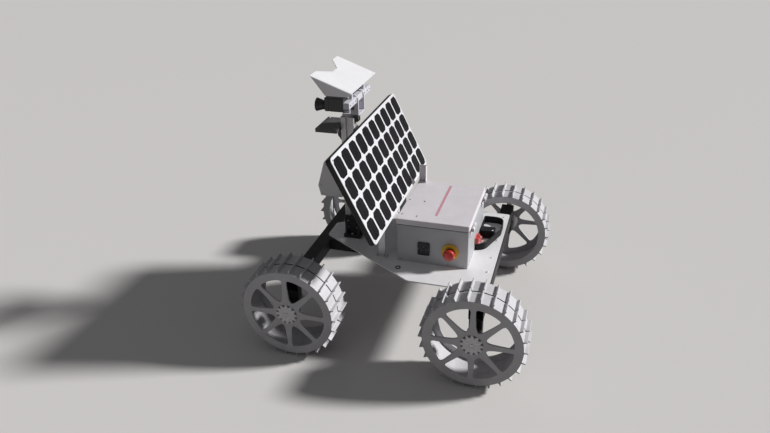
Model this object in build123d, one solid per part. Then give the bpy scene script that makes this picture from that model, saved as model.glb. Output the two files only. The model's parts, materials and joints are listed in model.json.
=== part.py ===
from build123d import *
import math
import os

os.makedirs("parts", exist_ok=True)

# Frame of the part: +X forward, +Y left, +Z up, millimetres.
# The origin is on the ground, midway between the four wheels.

# Wheels: a drum with two flat sides for each straight lug, and eight spokes in its outer face
wheel_base = 584.0
wheel_outer_y = 404.0
wheel_width = 110.0
drum_radius = 150.0
drum_wall = 4.0
lug_height = 12.0
lug_thickness = 4.0
lug_count = 26
lug_root = 1.5
lip_inner_radius = 124.0
lip_thickness = 4.0
spoke_count = 8
spoke_disc_thickness = 6.0
spoke_rim_width = 13.0
spoke_hub_width = 22.0
opening_inner_radius = 46.0
opening_corner_radius = 9.0
opening_apex_radius = 5.0
opening_rim_chord_count = 4
opening_corner_chord_count = 2
opening_apex_chord_count = 1

# Hubs and drive units
hub_tip_radius = 36.0
hub_valley_radius = 27.0
hub_ray_count = 12
hub_cap_height = 4.0
hub_flange_radius = 36.0
round_sides = 24
small_round_sides = 12
hub_flange_thickness = 6.0
shaft_radius = 6.0
shaft_insert = 25.0
shaft_end_gap = 1.0
running_clearance = 0.05
hub_gearbox_gap = 5.0
gearbox_size = 48.0
gearbox_corner = 10.0
gearbox_length = 36.0
motor_radius = 17.0
motor_length = 26.0
leg_width = 40.0
leg_thickness = 28.0
leg_end_drop = 24.0
leg_end_corner = 12.0

# Chassis: deck plate on two cross tubes and two side rails
deck_top = 256.0
deck_thickness = 4.0
deck_rear_x = -310.0
deck_nose = 60.0
deck_wheel_gap = 32.0
deck_front_half_width = 44.0
deck_taper_x = -60.0
deck_corner = 5.0
beam_width = 44.0
beam_height = 40.0
tube_wall = 3.0
rail_width = 20.0
rail_height = 40.0
rail_y = 60.0
grommet_x = -12.0
grommet_inset = 66.0
grommet_radius = 9.0
grommet_bore_radius = 5.5
grommet_height = 3.0

# Enclosure with its battery and hinged lid
box_rear_x = -229.0
box_depth = 232.0
box_half_y = 150.5
box_wall = 2.0
box_height = 147.0
box_corner = 2.5
bead_reach = 1.5
bead_height = 4.5
bead_drop = 3.0
lid_head_room = 7.0
lid_skirt_depth = 19.0
lid_wall = 2.0
lid_clearance = 1.0
hinge_y = 110.0
hinge_offset = 9.0
hinge_rise = 1.0
knuckle_radius = 4.0
knuckle_length = 14.0
knuckle_gap = 0.5
leaf_thickness = 2.5
leaf_drop = 7.0
leaf_height = 24.0
battery_length = 150.0
battery_width = 200.0
battery_height = 90.0
lid_bracket_length = 28.0
lid_bracket_width = 20.0
lid_bracket_height = 60.0
lid_bracket_wall = 3.0
lid_bracket_inset = 2.0

# Controls on the left wall of the enclosure
stop_setback = 57.0
stop_height = 55.0
stop_ring_radius = 28.0
stop_ring_depth = 5.0
stop_stem_radius = 13.0
stop_stem_length = 12.0
stop_head_radius = 19.0
stop_head_depth = 14.0
stop_head_slope = 6.0
socket_setback = 143.0
socket_width = 40.0
socket_height = 46.0
socket_depth = 4.0
socket_recess = 2.0
socket_lip = 4.0

# Tray behind the enclosure with its small battery and connectors
tray_height = 25.0
tray_wall = 3.0
tray_side_reach = 34.5
tray_deck_margin = 10.0
tray_shoulder_y = -97.0
tray_near_setback = 33.0
tray_near_y = 14.0
tray_near_slant = 14.0
tray_corner_radius = 26.0
pack_length = 48.0
pack_width = 34.0
pack_height = 30.0
pack_corner = 4.0
pack_gap = 4.0
connector_length = 12.0
connector_width = 16.0
connector_height = 14.0
connector_gap = 2.0
connector_y = (-46.0, -26.0, -6.0)

# Solar panel leaning forward on two posts
panel_width = 650.0
panel_length = 294.0
panel_lid_gap = 12.0
panel_foot_drop = 7.0
panel_lean = 26.0
panel_corner_radius = 15.0
sheet_thickness = 2.0
board_thickness = 10.0
cell_columns = 10
cell_rows = 4
cell_pitch_across = 64.4
cell_pitch_up = 70.6
cell_width = 51.5
cell_length = 60.8
cell_chamfer = 10.0
cell_thickness = 0.5
arm_y = 120.0
arm_width = 16.0
arm_depth = 10.0
arm_end_margin = 15.0
arm_post_gap = 1.0
pivot_up = 30.0
pivot_behind_arm = 10.0
pivot_pin_radius = 4.0
lug_eye_radius = 12.0
post_width = 24.0
post_thickness = 6.0
post_foot_reach = 20.0
post_foot_length = 40.0
post_foot_thickness = 5.0

# Mast with its foot, front housing and sensor plate
panel_mast_gap = 22.25
mast_size = 45.0
mast_height = 429.0
mast_slot_width = 10.0
mast_slot_depth = 5.0
foot_length = 60.0
foot_width = 100.0
foot_height = 74.0
foot_plate_height = 12.0
foot_socket_width = 64.0
foot_rib_thickness = 8.0
foot_rib_reach = 15.0
foot_rib_height = 50.0
foot_rib_inset = 4.0
plate_drop = 32.0
plate_length = 75.0
plate_width = 120.0
plate_thickness = 13.0
gusset_height = 50.0
gusset_reach = 18.0
gusset_thickness = 12.0
housing_drop = 59.0
housing_width = 90.0
housing_height = 125.0
housing_depth = 59.0
housing_lean = 16.5
housing_knee = 37.0
housing_undercut = 8.0
servo_depth = 12.0
servo_width = 24.0
servo_height = 22.0
servo_top_gap = 5.0

# Head: turntable with its fork, camera bar, two cameras and the hood
spindle_radius = 5.0
spindle_depth = 12.0
turntable_gap = 0.5
turntable_radius = 20.0
turntable_height = 10.0
tilt_setback = 30.5
tilt_rise = 65.0
fork_plate = 5.0
fork_arm = 6.0
fork_opening = 52.0
fork_front_reach = 12.0
fork_eye_radius = 14.0
tilt_pin_radius = 4.0
tilt_motor_length = 24.0
tilt_motor_width = 44.0
tilt_motor_height = 34.0
bar_size = 20.0
bar_half_length = 105.0
bar_gap = 1.0
strut_y = 58.0
strut_size = 10.0
camera_y = 80.0
camera_width = 44.0
camera_height = 44.0
camera_length = 63.0
camera_edge = 3.0
lens_drop = 8.0
lens_radius = 15.0
lens_length = 11.0
lens_hood_radius = 21.0
lens_hood_length = 22.0
lens_hood_wall = 2.0
hood_half_width = 122.0
hood_overhang = 26.0
hood_rise = 46.0
hood_length = 141.0
hood_pitch = 20.4
hood_sheet = 2.0
hood_notch_depth = 37.0
hood_notch_outer = 73.0
hood_notch_inner = 21.0
skirt_bottom_rise = 34.5
skirt_rear_reach = -15.0
skirt_front_reach = 60.0

# Worked out from the sizes above: wheels and chassis
lug_step = 360 / lug_count
lug_tip_radius = drum_radius + lug_height
half_step = math.radians(lug_step / 2)
axle_z = lug_tip_radius * math.cos(half_step) + lug_thickness / 2 * math.sin(half_step)
wheel_centre_y = wheel_outer_y - wheel_width / 2
gearbox_outer_y = wheel_outer_y - spoke_disc_thickness - hub_flange_thickness - hub_gearbox_gap
gearbox_inner_y = gearbox_outer_y - gearbox_length
leg_inner_y = gearbox_inner_y - leg_thickness
deck_bottom = deck_top - deck_thickness
deck_half_width = wheel_outer_y - wheel_width - deck_wheel_gap
beam_bottom = deck_bottom - beam_height
grommet_y = deck_half_width - grommet_inset
corners = {"front_left": (1, 1), "front_right": (1, -1), "rear_left": (-1, 1), "rear_right": (-1, -1)}

# Worked out: enclosure
box_front_x = box_rear_x + box_depth
box_centre_x = box_rear_x + box_depth / 2
box_rim_z = deck_top + box_height
lid_top = box_rim_z + lid_head_room
lid_bottom = lid_top - lid_skirt_depth
lid_grow = lid_clearance + lid_wall
lid_front_x = box_front_x + lid_grow
lid_half_y = box_half_y + lid_grow
bead_top = lid_bottom - bead_drop
hinge_x = box_rear_x - hinge_offset
hinge_z = lid_bottom + hinge_rise

# Worked out: panel
lean = math.radians(panel_lean)
panel_up = Vector(math.sin(lean), 0, math.cos(lean))
panel_face = Vector(-math.cos(lean), 0, math.sin(lean))
panel_foot = Vector(lid_front_x + panel_lid_gap, 0, lid_top - panel_foot_drop)
panel_back = sheet_thickness + board_thickness
arm_back = panel_back + arm_depth
panel_pivot = panel_foot + panel_up * pivot_up - panel_face * (arm_back + pivot_behind_arm)
panel_top_back = panel_foot + panel_up * panel_length - panel_face * panel_back

# Worked out: mast and head
mast_x = panel_top_back.X + panel_mast_gap + mast_size / 2
mast_front_x = mast_x + mast_size / 2
mast_rear_x = mast_x - mast_size / 2
mast_top = deck_top + mast_height
deck_front_x = mast_front_x + deck_nose
plate_top = mast_top - plate_drop
turntable_top = mast_top + turntable_gap + turntable_height
tilt_x = mast_x - tilt_setback
tilt_z = mast_top + tilt_rise
camera_rear_x = tilt_x + bar_size / 2
camera_front_x = camera_rear_x + camera_length
lens_z = tilt_z - lens_drop
hood_rear_x = tilt_x - hood_overhang
hood_rear_z = tilt_z + hood_rise
pitch = math.radians(hood_pitch)


def save(shape, name):
    """Name a finished piece and write it as one STEP file."""
    shape.label = name
    export_step(shape, f"parts/{name}.step")


def block(x0, x1, y0, y1, z0, z1):
    """A box between two opposite corners."""
    size = (abs(x1 - x0), abs(y1 - y0), abs(z1 - z0))
    return Pos((x0 + x1) / 2, (y0 + y1) / 2, (z0 + z1) / 2) * Box(*size)


def rod_x(radius, y, z, x0, x1):
    """A round bar along X."""
    return Pos((x0 + x1) / 2, y, z) * Rot(0, 90, 0) * Cylinder(radius, abs(x1 - x0))


def rod_y(radius, x, z, y0, y1):
    """A round bar along Y."""
    return Pos(x, (y0 + y1) / 2, z) * Rot(90, 0, 0) * Cylinder(radius, abs(y1 - y0))


def rod_z(radius, x, y, z0, z1):
    """A round bar along Z."""
    return Pos(x, y, (z0 + z1) / 2) * Cylinder(radius, z1 - z0)


def plate_xz(points, y0, y1):
    """A flat outline in X and Z carried from y0 to y1."""
    face = make_face(Polyline(*[(x, y0, z) for x, z in points], close=True))
    return extrude(face, amount=abs(y1 - y0), dir=(0, 1 if y1 > y0 else -1, 0))


def plate_yz(points, x0, x1):
    """A flat outline in Y and Z carried from x0 to x1."""
    face = make_face(Polyline(*[(x0, y, z) for y, z in points], close=True))
    return extrude(face, amount=abs(x1 - x0), dir=(1 if x1 > x0 else -1, 0, 0))


def prism_y(outline, x, z, y0, y1):
    """An outline drawn in XY, stood up about a place in X and Z and carried along Y."""
    high = max(y0, y1)
    return Pos(x, high, z) * Rot(90, 0, 0) * extrude(outline, amount=abs(y1 - y0))


def drum_prism(radius, y0, y1):
    """A many-sided bar about Y with a corner under every lug and one between each two."""
    outline = RegularPolygon(radius, 2 * lug_count, rotation=90)
    return prism_y(outline, 0, 0, y0, y1)


def lugs():
    """Straight bars across the tread, evenly spaced round the drum, none straight down."""
    reach = lug_height + lug_root
    middle = drum_radius - lug_root + reach / 2
    bar = Pos(0, 0, middle) * Box(lug_thickness, wheel_width, reach)
    return [Rot(0, (i + 0.5) * lug_step, 0) * bar for i in range(lug_count)]


def spoke_opening():
    """The window between two spokes, in the XY plane: a wedge whose rounded corners are chords."""
    half_angle = math.radians(180 / spoke_count)

    def beside_spoke(radius, width):
        """A point at a radius, half the spoke's width away from the spoke's middle line."""
        along = math.sqrt(radius ** 2 - (width / 2) ** 2)
        x = along * math.cos(half_angle) + width / 2 * math.sin(half_angle)
        y = along * math.sin(half_angle) - width / 2 * math.cos(half_angle)
        return x, y

    outer_x, outer_y = beside_spoke(lip_inner_radius, spoke_rim_width)
    inner_x, inner_y = beside_spoke(opening_inner_radius, spoke_hub_width)
    rim = ThreePointArc((outer_x, -outer_y), (lip_inner_radius, 0), (outer_x, outer_y))
    outline = Curve() + [
        Line((inner_x, -inner_y), (outer_x, -outer_y)),
        rim,
        Line((outer_x, outer_y), (inner_x, inner_y)),
        Line((inner_x, inner_y), (inner_x, -inner_y)),
    ]
    middle = (outer_x + inner_x) / 2
    face = make_face(outline)
    face = fillet([v for v in face.vertices() if v.X > middle], opening_corner_radius)
    apex = [v for v in face.vertices() if v.X < inner_x + 1]
    face = fillet(apex, min(opening_apex_radius, inner_y * 0.9))

    arcs = face.edges().filter_by(GeomType.CIRCLE).sort_by(SortBy.LENGTH)
    points = [arcs[-1] @ (i / opening_rim_chord_count) for i in range(1, opening_rim_chord_count)]
    for arc in arcs[:-1]:
        at_rim = arc.center().X > middle
        count = opening_corner_chord_count if at_rim else opening_apex_chord_count
        points += [arc @ (i / count) for i in range(count + 1)]
    points.sort(key=lambda point: math.atan2(point.Y, point.X - middle))
    return make_face(Polyline(*points, close=True))


def wheel_rim():
    """A wheel about Y: drum, inboard lip, spoked outboard face and lugs, in one piece."""
    edge = wheel_width / 2
    face_back = edge - spoke_disc_thickness
    lip_back = lip_thickness - edge
    rim = drum_prism(drum_radius, -edge, edge)
    rim -= drum_prism(drum_radius - drum_wall, lip_back, face_back)
    rim -= drum_prism(lip_inner_radius, -edge - 1, lip_back)
    window = prism_y(spoke_opening(), 0, 0, face_back - 1, edge + 1)
    rim -= [Rot(0, (i + 0.5) * 360 / spoke_count, 0) * window for i in range(spoke_count)]
    return rim + lugs()


def hub():
    """Rayed cap outside the spoked face, flange inside it, and the shaft on the flange."""
    face = wheel_width / 2
    inner = face - spoke_disc_thickness
    flange_end = inner - hub_flange_thickness
    shaft_end = flange_end - hub_gearbox_gap - shaft_insert
    rays = []
    for i in range(2 * hub_ray_count):
        radius = hub_valley_radius if i % 2 else hub_tip_radius
        turn = math.radians(i * 180 / hub_ray_count)
        rays.append((radius * math.cos(turn), radius * math.sin(turn)))
    cap = prism_y(make_face(Polyline(*rays, close=True)), 0, 0, face, face + hub_cap_height)
    flange = prism_y(RegularPolygon(hub_flange_radius, round_sides), 0, 0, flange_end, inner)
    return [cap, flange + rod_y(shaft_radius, 0, 0, shaft_end, flange_end)]


def wheels():
    """Four wheels, each a rim and a hub; those on the right are turned round."""
    rim = wheel_rim()
    hub_pieces = hub()
    for name, (fore, side) in corners.items():
        turn = 0 if side > 0 else 180
        place = Pos(fore * wheel_base / 2, side * wheel_centre_y, axle_z) * Rot(0, 0, turn)
        save(place * rim, f"wheel_rim_{name}")
        save(Compound(children=[place * piece for piece in hub_pieces]), f"hub_{name}")


def drive_units():
    """Under each beam end a leg, with the gearbox outside it and the motor inside."""
    leg_bottom = axle_z - leg_end_drop
    gearbox_outline = chamfer(Rectangle(gearbox_size, gearbox_size).vertices(), gearbox_corner)
    motor_outline = RegularPolygon(motor_radius, round_sides)
    legs, gearboxes, motors = [], [], []
    for fore, side in corners.values():
        x = fore * wheel_base / 2
        x0, x1 = x - leg_width / 2, x + leg_width / 2
        y0, y1 = side * leg_inner_y, side * gearbox_inner_y
        outline = [(x0, beam_bottom), (x1, beam_bottom), (x1, leg_bottom + leg_end_corner),
                   (x1 - leg_end_corner, leg_bottom), (x0 + leg_end_corner, leg_bottom),
                   (x0, leg_bottom + leg_end_corner)]
        legs.append(plate_xz(outline, y0, y1))
        gearbox = prism_y(gearbox_outline, x, axle_z, y1, side * gearbox_outer_y)
        bore_end = gearbox_outer_y - shaft_insert - shaft_end_gap
        gearbox -= rod_y(shaft_radius + running_clearance, x, axle_z, side * bore_end,
                         side * (gearbox_outer_y + 1))
        gearboxes.append(gearbox)
        motors.append(prism_y(motor_outline, x, axle_z, y0, side * (leg_inner_y - motor_length)))
    save(Compound(children=legs), "wheel_legs")
    save(Compound(children=gearboxes), "gearboxes")
    save(Compound(children=motors), "drive_motors")


def chassis():
    """Deck plate, cross tubes, side rails and the cable grommet."""
    outline = [(deck_rear_x, deck_half_width), (deck_taper_x, deck_half_width),
               (deck_front_x, deck_front_half_width), (deck_front_x, -deck_front_half_width),
               (deck_taper_x, -deck_half_width), (deck_rear_x, -deck_half_width)]
    face = make_face(Polyline(*outline, close=True))
    face = chamfer(face.vertices(), deck_corner)
    bore = Pos(grommet_x, grommet_y) * RegularPolygon(grommet_bore_radius, round_sides)
    ring = Pos(grommet_x, grommet_y) * RegularPolygon(grommet_radius, round_sides)
    save(extrude(Pos(0, 0, deck_bottom) * (face - bore), amount=deck_thickness, dir=(0, 0, 1)), "deck_plate")
    save(extrude(Pos(0, 0, deck_top) * (ring - bore), amount=grommet_height, dir=(0, 0, 1)), "cable_grommet")

    beams = []
    middle_z = (beam_bottom + deck_bottom) / 2
    tube = Box(beam_width, 2 * gearbox_inner_y, beam_height)
    tube -= Box(beam_width - 2 * tube_wall, 2 * gearbox_inner_y + 2, beam_height - 2 * tube_wall)
    for fore in (1, -1):
        beams.append(Pos(fore * wheel_base / 2, 0, middle_z) * tube)
    save(Compound(children=beams), "cross_beams")

    rails = []
    length = wheel_base - beam_width
    rail = Box(length, rail_width, rail_height)
    rail -= Box(length + 2, rail_width - 2 * tube_wall, rail_height - 2 * tube_wall)
    for side in (1, -1):
        rails.append(Pos(0, side * rail_y, deck_bottom - rail_height / 2) * rail)
    save(Compound(children=rails), "side_rails")


def box_outline(grow):
    """The enclosure's outline seen from above, moved outwards, or inwards below zero."""
    outline = chamfer(Rectangle(box_depth, 2 * box_half_y).vertices(), box_corner)
    if grow:
        outline = offset(outline, grow, kind=Kind.INTERSECTION)
    return Pos(box_centre_x, 0) * outline


def box_shape(grow, z0, z1):
    """The enclosure's outline carried upwards from z0 to z1."""
    return extrude(Pos(0, 0, z0) * box_outline(grow), amount=z1 - z0, dir=(0, 0, 1))


def enclosure():
    """Open-topped sheet box, beaded under the lid on all but its hinge side, and its battery."""
    rear = box_rear_x + box_corner
    bead = box_shape(bead_reach, bead_top - bead_height, bead_top)
    bead -= block(rear - 2 * box_corner, rear, -lid_half_y, lid_half_y, deck_top, box_rim_z)
    box = box_shape(0, deck_top, box_rim_z) + bead
    box -= box_shape(-box_wall, deck_top + box_wall, box_rim_z + 1)
    save(box, "enclosure_box")
    battery = Box(battery_length, battery_width, battery_height)
    save(Pos(box_centre_x, 0, deck_top + box_wall + battery_height / 2) * battery, "battery_pack")


def lid():
    """Skirted lid with its middle knuckles, the fixed hinge leaves and the small bracket on top."""
    cover = box_shape(lid_grow, lid_bottom, lid_top)
    cover -= box_shape(lid_clearance, lid_bottom - 1, lid_top - lid_wall)
    half = knuckle_length / 2
    back = hinge_x - knuckle_radius
    shelf_z = hinge_z - leaf_drop
    roll = RegularPolygon(knuckle_radius, small_round_sides)
    leaves = []
    for side in (1, -1):
        y = side * hinge_y
        cover += prism_y(roll, hinge_x, hinge_z, y - half, y + half)
        cover += block(hinge_x, box_rear_x - lid_clearance - lid_wall / 2, y - half, y + half,
                       hinge_z, hinge_z + leaf_thickness)
        start = half + knuckle_gap
        end = start + knuckle_length
        leaf = block(back, box_rear_x, y - end, y + end, shelf_z - leaf_thickness, shelf_z)
        leaf += block(box_rear_x - leaf_thickness, box_rear_x, y - end, y + end,
                      shelf_z - leaf_height, shelf_z)
        for way in (1, -1):
            y0, y1 = y + way * start, y + way * end
            leaf += prism_y(roll, hinge_x, hinge_z, y0, y1)
            leaf += block(back, back + leaf_thickness, y0, y1, shelf_z, hinge_z)
        leaves.append(leaf)
    save(cover, "enclosure_lid")
    save(Compound(children=leaves), "lid_hinges")

    x1 = lid_front_x - lid_bracket_inset
    x0 = x1 - lid_bracket_length
    y0 = -(lid_half_y - lid_bracket_inset)
    y1 = y0 + lid_bracket_width
    bracket = block(x0, x1, y0, y0 + lid_bracket_wall, lid_top, lid_top + lid_bracket_height)
    bracket += block(x0, x0 + lid_bracket_wall, y0, y1, lid_top, lid_top + lid_bracket_height)
    bracket += block(x0, x1, y0, y1, lid_top, lid_top + lid_bracket_wall)
    save(bracket, "lid_bracket")


def controls():
    """Stop button and power socket on the left wall."""
    wall = box_half_y
    x, z = box_rear_x + stop_setback, deck_top + stop_height
    ring_face = wall + stop_ring_depth
    save(prism_y(RegularPolygon(stop_ring_radius, round_sides), x, z, wall, ring_face), "stop_button_ring")
    head_back = ring_face + stop_stem_length
    slope_back = head_back + stop_head_depth - stop_head_slope
    outline = RegularPolygon(stop_head_radius, round_sides)
    head = prism_y(RegularPolygon(stop_stem_radius, round_sides), x, z, ring_face, head_back)
    head += prism_y(outline, x, z, head_back, slope_back)
    head += Pos(x, slope_back, z) * Rot(-90, 0, 0) * extrude(outline, amount=stop_head_slope, taper=45)
    save(head, "stop_button_head")

    x, z = box_rear_x + socket_setback, deck_top + stop_height
    face = wall + socket_depth
    socket = block(x - socket_width / 2, x + socket_width / 2, wall, face,
                   z - socket_height / 2, z + socket_height / 2)
    inner_x = socket_width / 2 - socket_lip
    inner_z = socket_height / 2 - socket_lip
    socket -= block(x - inner_x, x + inner_x, face - socket_recess, face + 1, z - inner_z, z + inner_z)
    save(socket, "power_socket")


def tray():
    """Low D-shaped wall on the deck behind the enclosure, with a small battery and connectors."""
    rear_x = deck_rear_x + tray_deck_margin
    far_y = -(box_half_y + tray_side_reach)
    near_x = box_rear_x - tray_near_setback
    front_y = tray_near_y + tray_near_slant
    outline = [(box_rear_x, far_y), (rear_x, far_y), (rear_x, tray_shoulder_y),
               (near_x, tray_near_y), (box_rear_x, front_y)]
    face = make_face(Polyline(*outline, close=True))
    outer = fillet([v for v in face.vertices() if v.X < box_rear_x - 1], tray_corner_radius)
    hollow = offset(outer, -tray_wall)
    mouth = [(box_rear_x + 1, far_y + tray_wall), (box_rear_x - 2 * tray_wall, far_y + tray_wall),
             (box_rear_x - 2 * tray_wall, front_y - 2 * tray_wall), (box_rear_x + 1, front_y - 2 * tray_wall)]
    hollow += make_face(Polyline(*mouth, close=True))
    wall = extrude(Pos(0, 0, deck_top) * (outer - hollow), amount=tray_height, dir=(0, 0, 1))
    save(wall, "rear_tray")

    front = box_rear_x - pack_gap
    low = tray_shoulder_y
    pack = block(front - pack_length, front, low, low + pack_width, deck_top, deck_top + pack_height)
    save(chamfer(pack.edges().filter_by(Axis.Z), pack_corner), "tray_battery")
    connectors = []
    for y in connector_y:
        front = box_rear_x - connector_gap
        connectors.append(block(front - connector_length, front, y - connector_width / 2,
                                y + connector_width / 2, deck_top, deck_top + connector_height))
    save(Compound(children=connectors), "tray_connectors")


def panel_point(up, off):
    """X and Z of a point on the panel: up along its slope, off in front of its face."""
    spot = panel_foot + panel_up * up + panel_face * off
    return spot.X, spot.Z


def back_strip(low, high, depth):
    """Outline in X and Z of a strip behind the board, between two places up the slope."""
    return [panel_point(low, -panel_back), panel_point(high, -panel_back),
            panel_point(high, -panel_back - depth), panel_point(low, -panel_back - depth)]


def on_panel(shape, up, off):
    """Stand a shape drawn flat in XY on the panel, its Y up the slope."""
    x, z = panel_point(up, off)
    plane = Plane(origin=(x, 0, z), x_dir=(0, -1, 0), z_dir=panel_face)
    return plane.location * shape


def solar_panel():
    """White sheet on a dark board, its cells, and two arms with eyes on the back."""
    middle = panel_length / 2
    outline = RectangleRounded(panel_width, panel_length, panel_corner_radius)
    save(on_panel(extrude(outline, amount=-sheet_thickness), middle, 0), "panel_sheet")
    save(on_panel(extrude(outline, amount=-board_thickness), middle, -sheet_thickness), "panel_board")
    cell = chamfer(Rectangle(cell_width, cell_length).vertices(), cell_chamfer)
    cell = extrude(cell, amount=cell_thickness)
    tiles = []
    for row in range(cell_rows):
        for column in range(cell_columns):
            across = (column - (cell_columns - 1) / 2) * cell_pitch_across
            up = (row - (cell_rows - 1) / 2) * cell_pitch_up
            tiles.append(on_panel(Pos(across, up) * cell, middle, 0))
    save(Compound(children=tiles), "solar_cells")

    x, z = panel_pivot.X, panel_pivot.Z
    arms = []
    for side in (1, -1):
        y0, y1 = side * (arm_y - arm_width / 2), side * (arm_y + arm_width / 2)
        arm = plate_xz(back_strip(arm_end_margin, panel_length - arm_end_margin, arm_depth), y0, y1)
        arm += plate_xz(back_strip(pivot_up - lug_eye_radius, pivot_up + lug_eye_radius,
                                   arm_depth + pivot_behind_arm), y0, y1)
        arm += prism_y(RegularPolygon(lug_eye_radius, small_round_sides), x, z, y0, y1)
        arms.append(arm - rod_y(pivot_pin_radius + running_clearance, x, z, y0 - side, y1 + side))
    save(Compound(children=arms), "panel_arms")


def panel_posts():
    """Two posts on the deck, each with a foot and the pin that its arm turns on."""
    x, z = panel_pivot.X, panel_pivot.Z
    posts = []
    for side in (1, -1):
        y0 = side * (arm_y + arm_width / 2 + arm_post_gap)
        y1 = y0 + side * post_thickness
        post = block(x - post_width / 2, x + post_width / 2, y0, y1, deck_top, z)
        post += prism_y(RegularPolygon(post_width / 2, small_round_sides), x, z, y0, y1)
        post += block(x - post_foot_length / 2, x + post_foot_length / 2, y0, y1 + side * post_foot_reach,
                      deck_top, deck_top + post_foot_thickness)
        post += rod_y(pivot_pin_radius, x, z, side * (arm_y - arm_width / 2 - 1), y0)
        posts.append(post)
    save(Compound(children=posts), "panel_posts")


def mast():
    """Ribbed foot, slotted post, front housing, sensor plate with its gusset, and the pan servo."""
    foot_rear_x = mast_front_x - foot_length
    plate_z = deck_top + foot_plate_height
    socket_y = foot_socket_width / 2
    foot = block(foot_rear_x, mast_front_x, -foot_width / 2, foot_width / 2, deck_top, plate_z)
    foot += block(foot_rear_x, mast_front_x, -socket_y, socket_y, plate_z, deck_top + foot_height)
    for side in (1, -1):
        rib = [(side * socket_y, plate_z), (side * (socket_y + foot_rib_reach), plate_z),
               (side * socket_y, plate_z + foot_rib_height)]
        for x in (foot_rear_x + foot_rib_inset, mast_front_x - foot_rib_inset - foot_rib_thickness):
            foot += plate_yz(rib, x, x + foot_rib_thickness)
    save(foot, "mast_foot")
    section = Rectangle(mast_size, mast_size)
    slot = Pos((mast_size - mast_slot_depth) / 2, 0) * Rectangle(mast_slot_depth, mast_slot_width)
    section -= [Rot(0, 0, turn) * slot for turn in (0, 90, 180, 270)]
    post = Pos(mast_x, 0, deck_top + foot_height) * extrude(section, amount=mast_height - foot_height)
    post -= rod_z(spindle_radius + running_clearance, mast_x, 0, mast_top - spindle_depth - 1, mast_top + 1)
    save(post, "mast_post")

    plate_bottom = plate_top - plate_thickness
    plate = block(mast_front_x, mast_front_x + plate_length, -plate_width / 2, plate_width / 2,
                  plate_bottom, plate_top)
    save(plate, "sensor_plate")
    gusset = [(mast_front_x, plate_bottom), (mast_front_x + gusset_reach, plate_bottom),
              (mast_front_x + gusset_reach, plate_bottom - gusset_height / 2),
              (mast_front_x, plate_bottom - gusset_height)]
    save(plate_xz(gusset, -gusset_thickness / 2, gusset_thickness / 2), "sensor_gusset")

    high = plate_bottom - gusset_height - housing_drop
    low = high - housing_height
    knee = low + housing_knee
    front = mast_front_x + housing_depth
    nose = front + (high - knee) * math.tan(math.radians(housing_lean))
    outline = [(mast_front_x, low), (nose - housing_undercut, low), (nose, knee), (front, high),
               (mast_front_x, high)]
    save(plate_xz(outline, -housing_width / 2, housing_width / 2), "front_housing")
    servo_top = turntable_top - servo_top_gap
    servo = block(mast_rear_x - servo_depth, mast_rear_x, -servo_width / 2, servo_width / 2,
                  servo_top - servo_height, servo_top)
    save(servo, "pan_servo")


def pan_unit():
    """Turntable on its spindle, carrying the fork and the tilt motor."""
    arm_inner = fork_opening / 2
    arm_outer = arm_inner + fork_arm
    plate_top_z = turntable_top + fork_plate
    unit = rod_z(spindle_radius, mast_x, 0, mast_top - spindle_depth, mast_top + turntable_gap)
    turntable = RegularPolygon(turntable_radius, round_sides)
    unit += Pos(mast_x, 0, mast_top + turntable_gap) * extrude(turntable, amount=turntable_height)
    unit += block(tilt_x - fork_eye_radius, mast_x + fork_front_reach, -arm_outer, arm_outer,
                  turntable_top, plate_top_z)
    for side in (1, -1):
        y0, y1 = side * arm_inner, side * arm_outer
        arm = block(tilt_x - fork_eye_radius, tilt_x + fork_eye_radius, y0, y1, turntable_top, tilt_z)
        arm += prism_y(RegularPolygon(fork_eye_radius, small_round_sides), tilt_x, tilt_z, y0, y1)
        unit += arm - rod_y(tilt_pin_radius + running_clearance, tilt_x, tilt_z, y0 - side, y1 + side)
    motor_front = mast_x + fork_front_reach
    unit += block(motor_front - tilt_motor_length, motor_front, -tilt_motor_width / 2, tilt_motor_width / 2,
                  plate_top_z, plate_top_z + tilt_motor_height)
    save(unit, "pan_unit")


def hood_underside(x):
    """Height of the underside of the hood's sloping sheet at a place along X."""
    return hood_rear_z + (x - hood_rear_x) * math.tan(pitch) - hood_sheet / math.cos(pitch)


def camera_bar():
    """Square bar on the tilt pin, with two struts up to the hood."""
    half = bar_size / 2
    inner = fork_opening / 2 - bar_gap
    outer = fork_opening / 2 + fork_arm + bar_gap
    bar = rod_y(tilt_pin_radius, tilt_x, tilt_z, -outer, outer)
    bar += block(tilt_x - half, tilt_x + half, -inner, inner, tilt_z - half, tilt_z + half)
    x0, x1 = tilt_x - strut_size / 2, tilt_x + strut_size / 2
    strut = [(x0, tilt_z), (x1, tilt_z), (x1, hood_underside(x1)), (x0, hood_underside(x0))]
    for side in (1, -1):
        bar += block(tilt_x - half, tilt_x + half, side * outer, side * bar_half_length,
                     tilt_z - half, tilt_z + half)
        bar += plate_xz(strut, side * (strut_y - strut_size / 2), side * (strut_y + strut_size / 2))
    save(bar, "camera_bar")


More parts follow.
